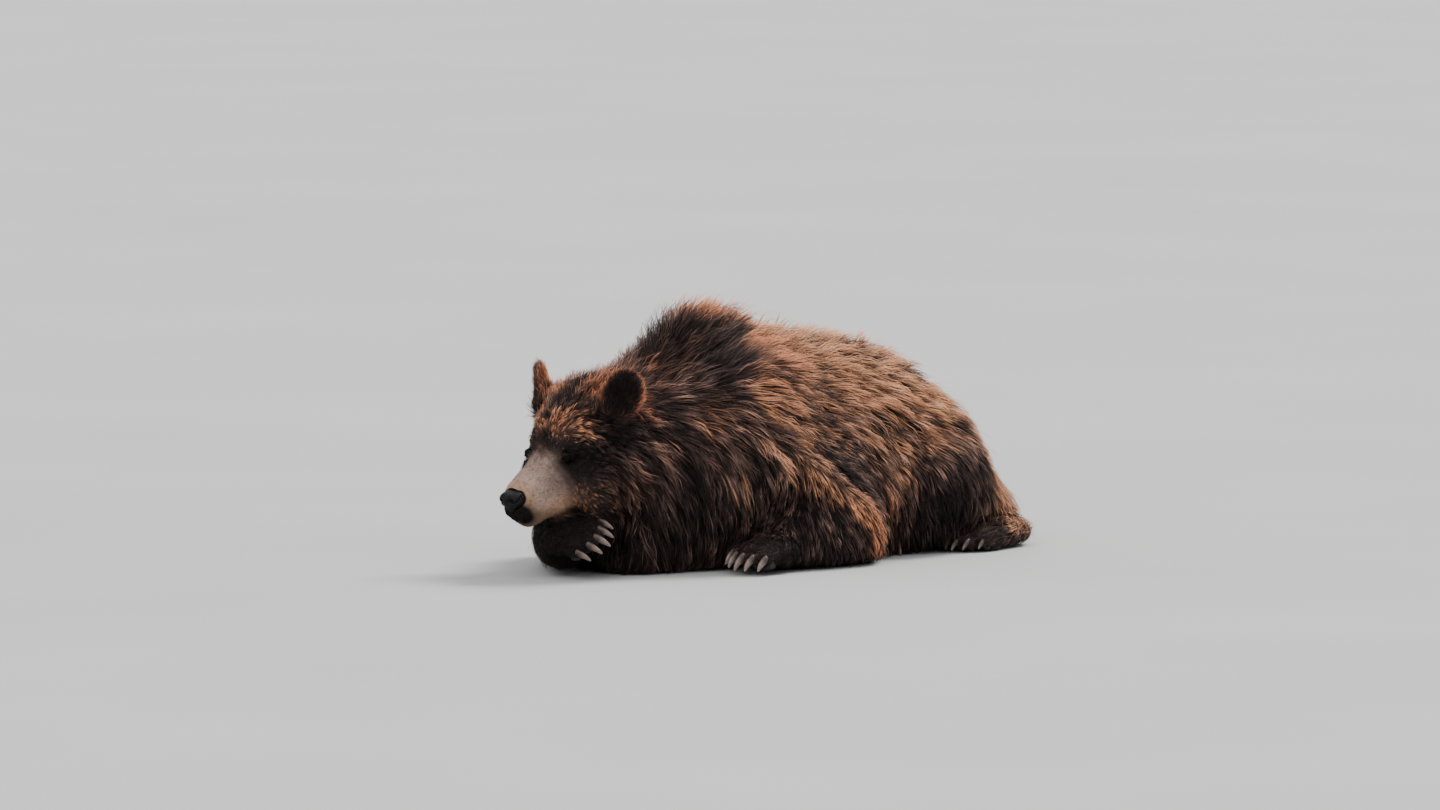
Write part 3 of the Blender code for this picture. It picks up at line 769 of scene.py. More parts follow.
def body_marks_and_light(bear, face):
    """How pale and how red the hair's tips are on the body, painted highlight and shade included; face is
    the head's share.
    """
    folded = folded_side(bear)
    x, y, z = folded.T

    def spot(centre, radii):
        return bump(folded, centre, radii)

    level, red = paint_marks(np.full(len(bear), 0.35), np.full(len(bear), 0.05), (
        # saddle over the back and flanks
        (1.15, 0.10, ramp(y, -0.01, 0.07) * ramp(z, 0.23, 0.36)),
        # dark sides of the hump
        (0.14, 0.20, 1.5 * spot((0.10, -0.07, 0.44), (0.12, 0.12, 0.080))),
        # chestnut and gold locks from the neck over the shoulder
        (0.60, 0.55, spot((0.17, -0.20, 0.35), (0.07, 0.055, 0.05))),
        (1.00, 0.15, spot((0.25, 0.01, 0.36), (0.10, 0.10, 0.09))),
        (1.05, 0.40, 0.8 * spot((0.200, -0.045, 0.405), (0.05, 0.05, 0.05))),
        # rusty crest of the hump and the nape; the band over the very top is also brightened as a painted
        # rim light
        (1.22, 0.60, 1.6 * spot((0.12, 0.055, 0.455), (0.07, 0.06, 0.05))),
        (1.08, 0.80, ramp(z, 0.500, 0.535)),
        (0.24, 0.80, ramp(x, 0.09, 0.03) * ramp(y, -0.06, -0.16) * ramp(z, 0.33, 0.38)),
        # dark behind the shoulder, gold over the haunch
        (0.46, 0.05, 0.95 * spot((0.250, 0.215, 0.345), (0.07, 0.12, 0.055))),
        (0.46, 0.10, 0.85 * spot((0.258, 0.055, 0.345), (0.045, 0.038, 0.050))),
        (1.25, 0.05, 0.90 * spot((0.19, 0.42, 0.415), (0.08, 0.10, 0.05))),
        (1.25, 0.12, 0.95 * spot((0.28, 0.45, 0.310), (0.07, 0.10, 0.060))),
        # dark band across the flank, over red-brown fur
        (0.56, 0.00, 0.85 * spot((0.29, 0.32, 0.255), (0.07, 0.10, 0.040))),
        (0.52, 0.30, 0.95 * spot((0.30, 0.33, 0.12), (0.09, 0.070, 0.10))),
        # rump, dark knee and pale heel
        (1.00, 0.12, ramp(y, 0.58, 0.65) * ramp(z, 0.08, 0.16)),
        (0.12, 0.10, 1.6 * spot((0.34, 0.47, 0.085), (0.10, 0.085, 0.085))),
        (1.30, 0.00, ramp(y, 0.65, 0.71) * ramp(z, 0.028, 0.050) * ramp(z, 0.17, 0.12)),
        # dark throat and breast
        (0.24, 0.15, ramp(y, -0.06, -0.12) * ramp(z, 0.24, 0.17)),
        (0.12, 0.10, spot((0.18, -0.25, 0.20), (0.07, 0.08, 0.08))),
        # forelegs
        (0.26, 0.15, 1.3 * spot((0.33, 0.02, 0.08), (0.09, 0.14, 0.070))),
        (0.60, 0.60, 0.6 * spot((0.33, -0.02, 0.19), (0.06, 0.08, 0.04))),
    ))
    # Painted highlight along the arm's crest, where light falls on its upper edge, warmer low down.
    crest = 1.2 * along_line(bear, ARM_CREST, 0.042)
    level = paint(level, np.interp(z, (0.05, 0.16, 0.24), (1.05, 1.10, 1.08)), crest)
    red = paint(red, np.interp(z, (0.08, 0.20), (0.70, 0.15)), crest)
    # Painted shade, nearly black, in the crease behind the arm and the fold over the forearm.
    for fold, wide in ((ARM_CREASE, 0.022), (FOREARM_FOLD, 0.018)):
        level = paint(level, 0.08, 0.92 * along_line(bear, fold, wide))
    # Painted highlight: pale strands down the mane.
    strands = along_line(folded, MANE_HIGHLIGHTS, 0.012)
    level, red = paint(level, 0.92, 0.8 * strands), paint(red, 0.0, strands)
    # Nearly black on the right forearm and paw under the chin: their own dark fur, deepened with painted
    # shade from the head above.
    dark_forearm_and_chin_shade = ramp(bear[:, 0], 0.03, -0.02) * ramp(y, -0.28, -0.34) * ramp(z, 0.17, 0.13)
    dark_paw_and_chin_shade = ramp(bear[:, 0], 0.10, 0.05) * ramp(y, -0.33, -0.38) * ramp(z, 0.16, 0.13)
    for dark, place in ((0.03, dark_forearm_and_chin_shade), (0.04, dark_paw_and_chin_shade)):
        level = paint(level, dark, 0.95 * place * (1 - face))
    # Painted shade on the lowest hair beside the floor, less at the rump.
    level = paint(level, 0.16, ramp(z, 0.07, 0.03) * (1 - 0.6 * ramp(y, 0.60, 0.66)) * 0.7)
    return level, red


def head_marks(level, red, local, face):
    folded = folded_side(local)
    x, y, z = folded.T

    def spot(centre, radii):
        return bump(folded, centre, radii)

    return paint_marks(level, red, (
        (0.32, 0.30, 1.0),
        (0.62, 0.70, ramp(y, 0.215, 0.265) * ramp(z, 0.11, 0.15) * ramp(x, 0.12, 0.08)),
        (1.00, 0.30, spot((0.064, 0.203, 0.095), (0.050, 0.032, 0.036))),
        (1.05, 0.45, spot((0.028, 0.184, 0.106), (0.038, 0.026, 0.026))),
        (0.22, 0.30, 0.8 * ramp(x, 0.020, 0.008) * ramp(y, 0.19, 0.215)),
        (0.24, 0.30, 0.45 * spot((0.050, 0.240, 0.145), (0.060, 0.014, 0.030))),
        (0.98, 0.35, 0.95 * spot((0.088, 0.158, -0.040), (0.028, 0.034, 0.028))),
        (0.36, 0.40, 0.8 * spot((0.115, 0.225, -0.020), (0.05, 0.05, 0.06))),
        (0.20, 0.10, 0.9 * bump(local, (0, 0.150, 0.074), (0.034, 0.018, 0.022))),
        (0.08, 0.20, spot((0.122, 0.240, 0.090), (0.030, 0.032, 0.036))),
        (0.01, 0.00, eye_patch(folded)),
    ), face)


def ear_marks(level, red, points):
    """Rusty ears with nearly black bowls."""
    for _, side in SIDES:
        place, ring = in_ear(points, side)
        near = (np.linalg.norm(place, axis=1) < 0.085) & (place[:, 2] > -0.022)
        level = paint(level, 0.92, near * ramp(place[:, 2], -0.02, 0.04))
        red = paint(red, 0.80, near)
        level = paint(level, 0.0, near * ramp(ring, 1.12, 0.98) * (place[:, 1] < 0.004))
    return level, red


def muzzle_share(points, local, face):
    """Where the short pale hair of the muzzle is, with a wandering edge."""
    folded = folded_side(local)
    x, y = folded[:, 0], folded[:, 1]
    edge = y + 0.006 * drift(points, 0.030, 21) + 0.10 * np.maximum(x - 0.034, 0)
    return ramp(edge, 0.166, 0.116) * ramp(x, 0.10, 0.07) * face * (1 - eye_patch(folded))


def coat_marks_and_light(points, face):
    """The coat's look at each point: how pale and how red its tips are, with some painted highlight and
    shade, and the muzzle colour's share.
    """
    bear, local = points - BEAR_ORIGIN, to_head(points)
    level, red = body_marks_and_light(bear, face)
    level, red = head_marks(level, red, local, face)
    level, red = ear_marks(level, red, points)
    # Painted shade, nearly black, under the jaw, where the muzzle's pale hair stops.
    jaw_shade = ramp(bear[:, 2], 0.105, 0.080) * ramp(bear[:, 1], -0.33, -0.38)
    return paint(level, 0.04, jaw_shade), red, muzzle_share(points, local, face) * (1 - jaw_shade)


def shade(level):
    """The coat's colour for a number from 0, nearly black, to a little over 1, straw."""
    scale = ((0.0, NIGHT), (0.25, UMBER), (0.50, CHESTNUT), (0.72, BRONZE), (0.90, HONEY), (1.25, STRAW))
    places = [place for place, _ in scale]
    return np.stack([np.interp(level, places, [colour[k] for _, colour in scale]) for k in range(3)], 1)


def muzzle_colour(points, lightness, tone):
    """The muzzle's short hair: fawn, tan in front, smoky here and there, nearly black at the lip and darker
    towards its underside as painted shade.
    """
    local = to_head(points)
    folded = folded_side(local)
    front = np.maximum(ramp(local[:, 1], 0.075, 0.045), ramp(local[:, 2], -0.030, -0.055))
    lip = bump(folded, (0.020, 0.028, -0.050), (0.031, 0.034, 0.031))
    layers = (
        (TAN, 0.75 * front),
        (SMOKE, 0.66 * ramp(tone + 0.6 * drift(points, 0.018, 22), -0.1, 1.5)),
        (SMOKE, 0.50 * bump(folded, (0.050, 0.118, 0.000), (0.028, 0.030, 0.026))),
        (LIP_FUZZ, 0.95 * bump(folded, (0.060, 0.125, -0.050), (0.020, 0.034, 0.022))),
        (NIGHT, np.clip(2.2 * lip - 0.15, 0, 1)),
    )
    colour = np.tile(FAWN, (len(points), 1))
    for layer, where in layers:
        colour = mix(colour, np.array(layer), where)
    # Painted shade: darker towards the underside of the muzzle.
    return colour * (lightness**0.5 * (0.62 + 0.38 * ramp(local[:, 2], -0.080, -0.035)))[:, None]


def coat_colour(points, marks, share, lightness, tone):
    """The hair's colour at a share of its length; lightness and tone wander from lock to lock and carry
    some painted shade and highlight.
    """
    level, red, fawn = marks
    tip = shade(np.clip(level * (1 + 0.40 * tone) + 0.05 * tone, 0, 1.25))
    tip = mix(tip, tip * np.array(REDDEN), red)
    root = shade(0.04 + 0.20 * level)
    colour = mix(root, tip, ramp(np.full(len(points), share), 0.18, 0.85)) * lightness[:, None]
    colour = mix(colour, muzzle_colour(points, lightness, tone), fawn)
    return colour * np.minimum(1, BRIGHTEST / colour.max(1, keepdims=True))


# ---------------------------------------------------------------- roots, by Geometry Nodes


def scatter_tree():
    """Even random points over a surface, with its normal kept on each."""
    tree = bpy.data.node_groups.new("hair_roots", "GeometryNodeTree")
    sockets = (
        ("Geometry", "INPUT", "Geometry"), ("Spacing", "INPUT", "Float"), ("Seed", "INPUT", "Int"),
        ("Geometry", "OUTPUT", "Geometry"),
    )
    for name, way, kind in sockets:
        tree.interface.new_socket(name, in_out=way, socket_type=f"NodeSocket{kind}")
    nodes, links = tree.nodes, tree.links
    enter, leave = nodes.new("NodeGroupInput"), nodes.new("NodeGroupOutput")
    strew = nodes.new("GeometryNodeDistributePointsOnFaces")
    strew.distribute_method = "POISSON"
    strew.inputs["Density Max"].default_value = 400000.0
    thick = nodes.new("GeometryNodeInputNamedAttribute")
    thick.data_type = "FLOAT"
    thick.inputs["Name"].default_value = "thickly"
    keep = nodes.new("GeometryNodeStoreNamedAttribute")
    keep.data_type = "FLOAT_VECTOR"
    keep.domain = "POINT"
    keep.inputs["Name"].default_value = "root_normal"
    plain = nodes.new("GeometryNodePointsToVertices")
    joins = (
        (enter, "Geometry", strew, "Mesh"), (enter, "Spacing", strew, "Distance Min"),
        (enter, "Seed", strew, "Seed"), (thick, "Attribute", strew, "Density Factor"),
        (strew, "Points", keep, "Geometry"), (strew, "Normal", keep, "Value"),
        (keep, "Geometry", plain, "Points"), (plain, "Mesh", leave, "Geometry"),
    )
    for first, outlet, second, inlet in joins:
        links.new(first.outputs[outlet], second.inputs[inlet])
    return tree


ROOT_TREE = scatter_tree()
SKIN_HABITS = ("length", "loose", "stand", "hang", "streak", "depth", "face")


def strew_roots(patch, spacing, seed):
    """The roots on a patch of skin: where, normal, unwrap place and what the skin says there."""
    step = patch.modifiers.new("roots", "NODES")
    step.node_group = ROOT_TREE
    values = {"Spacing": spacing, "Seed": seed}
    for item in ROOT_TREE.interface.items_tree:
        if item.in_out == "INPUT" and item.name in values:
            step[item.identifier] = values[item.name]
    made = evaluated_mesh(patch)
    patch.modifiers.clear()
    roots = {name: read(made, name) for name in SKIN_HABITS}
    roots["at"] = points_of(made)
    roots["normal"] = unit(read(made, "root_normal", 3))
    roots["flow"] = read(made, "flow", 3)
    roots["chart"] = read(made, "chart", 3)[:, :2]
    bpy.data.meshes.remove(made)
    return roots


def cut_patch(skin, chosen):
    """The chosen faces of the skin as an object with an unwrap of its own, kept as the vector chart."""
    bm = bmesh.new()
    bm.from_mesh(skin.data)
    bm.faces.ensure_lookup_table()
    bmesh.ops.delete(bm, geom=[f for f, keep in zip(bm.faces, chosen) if not keep], context="FACES")
    mesh = mesh_of(bm, "patch")
    patch = add_object("patch", mesh)
    bpy.ops.object.select_all(action="DESELECT")
    patch.select_set(True)
    bpy.context.view_layer.objects.active = patch
    mesh.uv_layers.new(name="unwrap")
    bpy.ops.object.mode_set(mode="EDIT")
    bpy.ops.mesh.select_all(action="SELECT")
    bpy.ops.uv.smart_project(angle_limit=math.radians(70), island_margin=0.003)
    bpy.ops.object.mode_set(mode="OBJECT")
    mesh = patch.data
    uv = np.empty(len(mesh.loops) * 2, np.float32)
    mesh.uv_layers[0].data.foreach_get("uv", uv)
    chart = mesh.attributes.new("chart", "FLOAT_VECTOR", "CORNER")
    chart.data.foreach_set("vector", np.pad(uv.reshape(-1, 2), ((0, 0), (0, 1))).ravel())
    return patch


# ---------------------------------------------------------------- tufts


def make_locks(at, spacing, seed):
    """Groups the roots into locks: each root's lock number, and the root in the middle of each lock."""
    pick = np.random.default_rng(seed)
    order = pick.permutation(len(at))
    tree = point_tree(at)
    lock = np.full(len(at), -1)
    centres = []
    for i in order:
        if lock[i] >= 0:
            continue
        number = len(centres)
        centres.append(i)
        for _, j, far in tree.find_range(at[i], spacing):
            if lock[j] < 0 or far < 0.45 * spacing:
                lock[j] = number
    return lock, np.array(centres)


def hover(points, high, tree):
    """The points, each set at its own height above the skin nearest to it."""
    out = np.empty_like(points)
    for i, p in enumerate(points):
        where, normal, _, _ = tree.find_nearest(Vector(p))
        out[i] = where + normal * high[i]
    return out


class Tufts:
    """The tufts of one coat piece, with the random numbers that set its locks and tufts apart.

    Stray tufts fly off the coat, with paler tips as a painted highlight. Those under it are shorter, and
    darker as painted shade.
    """

    def __init__(self, roots, kind, seed):
        self.roots, self.kind, self.n = roots, kind, len(roots["at"])
        self.pick = np.random.default_rng(seed)
        self.lock, self.centres = make_locks(roots["at"], kind["lock"], seed)
        self.stray = self.pick.random(self.n) < kind["fly"] * (0.20 + roots["loose"])
        self.under = ~self.stray & (self.pick.random(self.n) < kind["under"])
        self.under[self.centres] = False

    def by_lock(self, width):
        return self.pick.normal(0, width, len(self.centres))[self.lock]

    def by_tuft(self, width):
        return self.pick.normal(0, width, self.n)

    def between(self, low, high):
        return self.pick.uniform(low, high, self.n)

    def leans(self):
        """The way each tuft leans and the way across it, both along the skin."""
        at, normal, flow = self.roots["at"], self.roots["normal"], self.roots["flow"]
        flow = unit(flow - normal * (flow * normal).sum(1, keepdims=True))
        across = np.cross(normal, flow)
        sway = self.by_lock(self.kind["sway"])
        sway = sway + self.by_tuft(self.kind["stray"]) * (1 + 2 * self.roots["loose"])
        sway += self.kind["swirl"] * (drift(at, 0.22, 5) + 0.6 * drift(at, 0.08, 6))
        return flow * np.cos(sway)[:, None] + across * np.sin(sway)[:, None], across

    def heights(self):
        """How long each tuft is, how high its end stands and its share of the coat's depth."""
        streak = np.clip(self.roots["streak"], -2, 2)
        long = self.roots["length"] * (1 + self.by_lock(0.15)) * self.between(0.78, 1.10)
        long *= np.where(self.under, 0.70, 1.0)
        share = self.between(0.62, 1.02) * (1 + self.by_lock(self.kind["tiers"]))
        share = np.where(self.under, 0.55 * share, np.where(self.stray, 1.15, share))
        high = np.minimum(self.roots["depth"] * share, 0.80 * long)
        high *= 1 + 0.10 * self.kind["streaky"] * streak
        high += self.roots["stand"] * long * self.between(0.5, 1.1) * np.where(self.under, 0.4, 1.0)
        return long, high, share

    def draw_together(self, points, kept, pull):
        """The points drawn towards their lock's own; at a full pull they keep that share of the way."""
        middle = points[self.centres][self.lock]
        return mix(points, middle + kept * (points - middle), pull)

    def paths(self, tree):
        """Where each tuft starts, bends and ends, and its share of the coat's depth."""
        roots, kind = self.roots, self.kind
        at, normal, loose = roots["at"], roots["normal"], roots["loose"]
        way, across = self.leans()
        long, high, share = self.heights()
        reach = np.sqrt(np.maximum(long**2 - high**2, (0.3 * long) ** 2))
        curl = (self.by_lock(kind["curl"]) + self.by_tuft(0.4 * kind["curl"])) * long
        droop = np.array((0, 0, -1.0)) + normal * normal[:, 2:3]
        bend = at + way * (0.42 * reach)[:, None] + across * curl[:, None]
        tip = at + way * reach[:, None] + droop * (kind["droop"] * long)[:, None]
        free = np.where(self.stray, 1.0, 0.35 * loose)[:, None]
        bend = mix(hover(bend, 1.05 * high, tree), bend + normal * high[:, None], free)
        tip = mix(hover(tip, kind["rise"] * high, tree), tip + normal * (1.1 * high)[:, None], free)
        level_out = unit(normal * np.array((1, 1, 0.0)) + 1e-6)
        down = at + np.array((0, 0, -0.9)) * long[:, None] + level_out * high[:, None]
        tip = mix(tip, down, roots["hang"])
        bend = mix(bend, at + (down - at) * 0.45 + level_out * (0.5 * high)[:, None], roots["hang"])
        pull = kind["draw"] * (1 - 0.65 * loose) * self.between(0.55, 1.15)
        pull = np.where(self.stray, 0, np.clip(pull, 0, 0.95))
        tip = self.draw_together(tip, 0.2, pull)
        bend = self.draw_together(bend, 0.7, 0.6 * pull)
        return at - normal * kind["sunk"], bend, tip, share

    def tones(self, share):
        """How light each tuft is, darker lower in the coat as painted shade, and how far its own colour
        runs to the pale or the dark side, paler for stray tufts as a painted highlight.
        """
        at, kind = self.roots["at"], self.kind
        lightness = np.exp(self.by_lock(kind["patchy"])) * np.exp(self.by_tuft(kind["grain"]))
        # Painted shade: tufts lower in the coat are darker, those under it darkest.
        lightness *= np.exp(0.15 * drift(at, 0.12, 11)) * np.where(self.under, 0.45, 0.60 + 0.45 * share)
        tone = self.by_lock(kind["tone"]) + self.by_tuft(0.35) + 0.4 * drift(at, 0.05, 12)
        streak = np.clip(self.roots["streak"], -1.6, 2.2) * kind["streaky"]
        lightness *= np.exp(0.40 * streak)
        # Stray tufts get paler tips, a painted highlight.
        tone += 0.7 * streak + np.where(self.stray, 1.0, 0.0)
        return lightness, tone


def ring_corners(centre, tangent, normal, wide):
    """Three corners round a point of a tuft: two at its sides and one on its ridge."""
    side = unit(np.cross(tangent, normal))
    ridge = np.cross(side, tangent)
    return np.stack((centre - side * wide / 2, centre + side * wide / 2, centre + ridge * wide * 0.4), 1)


def keep_in_room(points):
    """Eases the crest's tips in under the top, and lifts what would go through the floor."""
    over = np.maximum(points[:, 2] - CREST_TOP, 0)
    points[:, 2] -= over - CREST_ROOM * np.tanh(over / CREST_ROOM)
    points[:, 2] = np.maximum(points[:, 2], FLOOR_CLEAR)
    return points


def grow_tufts(name, roots, kind, tree, seed):
    """Three-sided tapering tufts on the roots, drawn together into locks, as one mesh."""
    tufts = Tufts(roots, kind, seed)
    start, bend, tip, depth_share = tufts.paths(tree)
    width = kind["width"] * tufts.between(0.70, 1.30) * np.where(tufts.stray, 0.55, 1.0)
    lightness, tone = tufts.tones(depth_share)
    marks = coat_marks_and_light(roots["at"], roots["face"])
    steps = kind["steps"]
    rings, tints = [], []
    for k in range(steps + 1):
        t = k / steps
        ring = (1 - t) ** 2 * start + 2 * t * (1 - t) * bend + t * t * tip
        tangent = unit((1 - t) * (bend - start) + t * (tip - bend) + 1e-9)
        wide = (width * np.interp(t, *TUFT_TAPER))[:, None]
        ring = ring_corners(ring, tangent, roots["normal"], wide) if k < steps else ring[:, None, :]
        tint = coat_colour(roots["at"], marks, t, lightness, tone)
        rings.append(ring)
        tints.append(np.repeat(tint[:, None, :], ring.shape[1], 1))
    points = np.concatenate(rings, 1)
    each = points.shape[1]
    first = np.arange(tufts.n) * each
    triangles = (tuft_faces(steps, each)[None] + first[:, None, None]).reshape(-1, 3)
    mesh = mesh_from_arrays(name, keep_in_room(points.reshape(-1, 3)), triangles)
    store_colour(mesh, np.concatenate(tints, 1).reshape(-1, 3))
    add_bake_map(mesh, roots["chart"], each, steps, triangles)
    mesh.shade_smooth()
    print(f"{name}: {tufts.n} tufts in {len(tufts.centres)} locks, {len(triangles)} triangles")
    return add_object(name, mesh)


def tuft_faces(steps, each):
    """The triangles of one tuft: a closed root, the sides and the tip."""
    faces = [(0, 1, 2)]
    for k in range(steps - 1):
        for a in range(3):
            b = (a + 1) % 3
            low, high = 3 * k, 3 * k + 3
            faces += [(low + a, high + b, low + b), (low + a, high + a, high + b)]
    last = 3 * (steps - 1)
    faces += [(last + a, each - 1, last + (a + 1) % 3) for a in range(3)]
    return np.array(faces)


def add_bake_map(mesh, chart, each, steps, triangles):
    """Gives each tuft a small patch of its own at its root's place on the skin's unwrap."""
    number = np.arange(each)
    ring = np.minimum(number // 3, steps)
    u = np.where(number == each - 1, 0.5, (number % 3) / 2.0)
    v = ring / steps
    local = np.stack((u, v), 1) * BAKE_PATCH
    chart = np.clip(chart, 0, 1 - BAKE_PATCH)
    uv = (chart[:, None, :] + local[None]).reshape(-1, 2)[triangles.ravel()]
    layer = mesh.uv_layers.new(name="OFBake")
    layer.data.foreach_set("uv", uv.astype(np.float32).ravel())


# ---------------------------------------------------------------- the coat, region by region


def dress_skin(skin):
    """Keeps on the skin what the coat and the materials read there."""
    mesh = skin.data
    co, normal = points_of(mesh), normals_of(mesh)
    owner, shares = part_shares(mesh)
    local = to_head(co)
    flow = lie_of_coat(mesh, owner)
    streak = spread(streaks(co, flow), edges_of(mesh), 2, 0.3)
    store(mesh, "flow", flow, "FLOAT_VECTOR")
    streak = streak / streak.std() * (1 - 0.9 * near_tail(co - BEAR_ORIGIN))
    habits = (*hair_habit(co, shares), streak, coat_depth(co, shares), shares["head"])
    for name, values in zip(SKIN_HABITS, habits):
        store(mesh, name, values)
    under = (co[:, 2] < 0.012) & (normal[:, 2] < -0.7)
    eye_bare = np.zeros(len(co))
    for _, side in SIDES:
        _, along, across = eye_axes(side)
        away = local - eye_centre(side)
        oval = np.hypot((away @ along) / LID_WIDE, (away @ across) / LID_TALL)
        eye_bare = np.maximum(eye_bare, ramp(oval, 1.50, 1.22) * (np.linalg.norm(away, axis=1) < 0.03))
    nose_bare = ramp(off_nose(local), 1.20, 1.06)
    lip_bare = 0.7 * ramp(line_distance(folded_side(local), MOUTH_LINE), 0.0042, 0.0024)
    bare = np.maximum.reduce((eye_bare, nose_bare, lip_bare))
    store(mesh, "bare", bare)
    thickly = (1 - under) * (1 - ramp(bare, 0.3, 0.7))
    store(mesh, "thickly", thickly * (1 - 0.5 * ramp(normal[:, 2], -0.3, -0.7)))
    n = len(co)
    tint = coat_colour(co, coat_marks_and_light(co, shares["head"]), 0.30, np.ones(n), np.zeros(n))
    store_colour(mesh, mix(tint, np.array(NIGHT), bare))
    return owner


# Kinds of hair. lock, width, spacing and sunk, the root's depth, are in metres, and steps counts a tuft's
# lengths. sway, stray and swirl turn the hair, rise and droop set its tip, draw pulls a lock together and
# curl bends it. tiers, under and fly vary how high it stands, and patchy, grain, tone and streaky vary its
# colour.
LONG = dict(lock=0.0105, sway=0.09, stray=0.05, swirl=0.13, sunk=0.004, rise=0.95, droop=0.06, draw=0.72,
            width=0.0018, steps=3, curl=0.14, tiers=0.18, under=0.34, fly=0.10, patchy=0.32, tone=0.60,
            streaky=1.25, grain=0.28, spacing=0.0038)
SHOULDER = dict(LONG, lock=0.0085, width=0.0016, spacing=0.0033, draw=0.66, streaky=0.8)
FLANK = dict(LONG, lock=0.0125, draw=0.80, tiers=0.22, patchy=0.42, streaky=1.60)
NECK = dict(LONG, lock=0.0085, width=0.0016, spacing=0.0035, droop=0.10, curl=0.14, sway=0.14, draw=0.72,
            streaky=0.55, fly=0.22)
LEG = dict(LONG, lock=0.0085, width=0.0020, spacing=0.0040, sunk=0.003, patchy=0.22, tone=0.4, streaky=0.6)
HEAD_HAIR = dict(LONG, lock=0.0056, sway=0.18, stray=0.10, width=0.0013, spacing=0.00245, sunk=0.002,
                 curl=0.12, tone=0.6, fly=0.12, streaky=0.8)
FACE = dict(LONG, lock=0.006, sway=0.15, stray=0.16, swirl=0.10, width=0.0009, spacing=0.0017, sunk=0.0006,
            rise=0.85, droop=0.0, draw=0.30, steps=2, curl=0.03, under=0.1, fly=0.02, patchy=0.12, tone=0.8,
            streaky=0.3, grain=0.16)
EAR = dict(FACE, lock=0.005, width=0.0011, spacing=0.0019, draw=0.6, patchy=0.2, rise=1.0, fly=0.10)
PAW = dict(FACE, lock=0.007, width=0.0016, spacing=0.0027, draw=0.45, patchy=0.2)


def coat_regions(mesh, owner):
    """Which coat piece each face of the skin carries, and the kind of hair on it."""
    corner = np.array([p.vertices[0] for p in mesh.polygons])
    co, owner = points_of(mesh)[corner], owner[corner]
    bear, local = co - BEAR_ORIGIN, to_head(co)
    left = bear[:, 0] > 0
    face = belongs(owner, "head") & (local[:, 1] < 0.155)
    trunk = belongs(owner, "trunk", "tail")
    front = bear[:, 1] < 0.19
    regions = [
        ("coat_face", face, FACE),
        ("coat_head", belongs(owner, "head") & ~face, HEAD_HAIR),
        ("coat_ears", belongs(owner, *EAR_NODES), EAR),
        ("coat_neck", belongs(owner, "neck"), NECK),
        ("coat_paws", belongs(owner, *PAW_NODES), PAW),
    ]
    for side, here in (("left", left), ("right", ~left)):
        regions.append((f"coat_shoulder_{side}", trunk & front & here, SHOULDER))
        regions.append((f"coat_flank_{side}", trunk & ~front & here, FLANK))
        for leg, nodes in (("foreleg", ("upper_arm", "forearm")), ("hindleg", ("thigh", "shank"))):
            chosen = belongs(owner, *(f"{node}_{side}" for node in nodes))
            regions.append((f"coat_{leg}_{side}", chosen, LEG))
    return regions


def make_coat(skin, owner, finish):
    tree = BVHTree.FromObject(skin, bpy.context.evaluated_depsgraph_get())
    for number, (name, chosen, kind) in enumerate(coat_regions(skin.data, owner)):
        patch = cut_patch(skin, chosen)
        roots = strew_roots(patch, kind["spacing"], ROOT_SEED + number)
        old = patch.data
        bpy.data.objects.remove(patch)
        bpy.data.meshes.remove(old)
        hand_over(grow_tufts(name, roots, kind, tree, LOCK_SEED + number), finish, "fur")


# ---------------------------------------------------------------- eyes, nose, pads and claws


def make_eye(label, side, finish):
    """An eyeball with a bulging cornea; its attribute says how far each point is from the pupil."""
    bm = bmesh.new()
    bmesh.ops.create_uvsphere(bm, u_segments=48, v_segments=32, radius=EYEBALL)
    out, along, across = eye_axes(side)
    mesh = mesh_of(bm, f"eyeball_{label}")
    co = points_of(mesh)
    angle = np.arccos(np.clip(co[:, 2] / EYEBALL, -1, 1))
    co *= (1 + 0.07 * ramp(angle, 0.75, 0.35))[:, None]
    placed = co[:, :1] * along + co[:, 1:2] * across + co[:, 2:] * out + eye_centre(side)
    move_points(mesh, from_head(placed))
    store(mesh, "from_pupil", angle)
    mesh.shade_smooth()
    hand_over(add_object(f"eyeball_{label}", mesh), finish, "eye", f"eye_{label}")


def ball(bm, centre, radii, place):
    """An ellipsoid in the frame place."""
    matrix = place @ Matrix.Translation(centre) @ Matrix.Diagonal((*radii, 1))
    bmesh.ops.create_uvsphere(bm, u_segments=32, v_segments=20, radius=1, matrix=matrix)


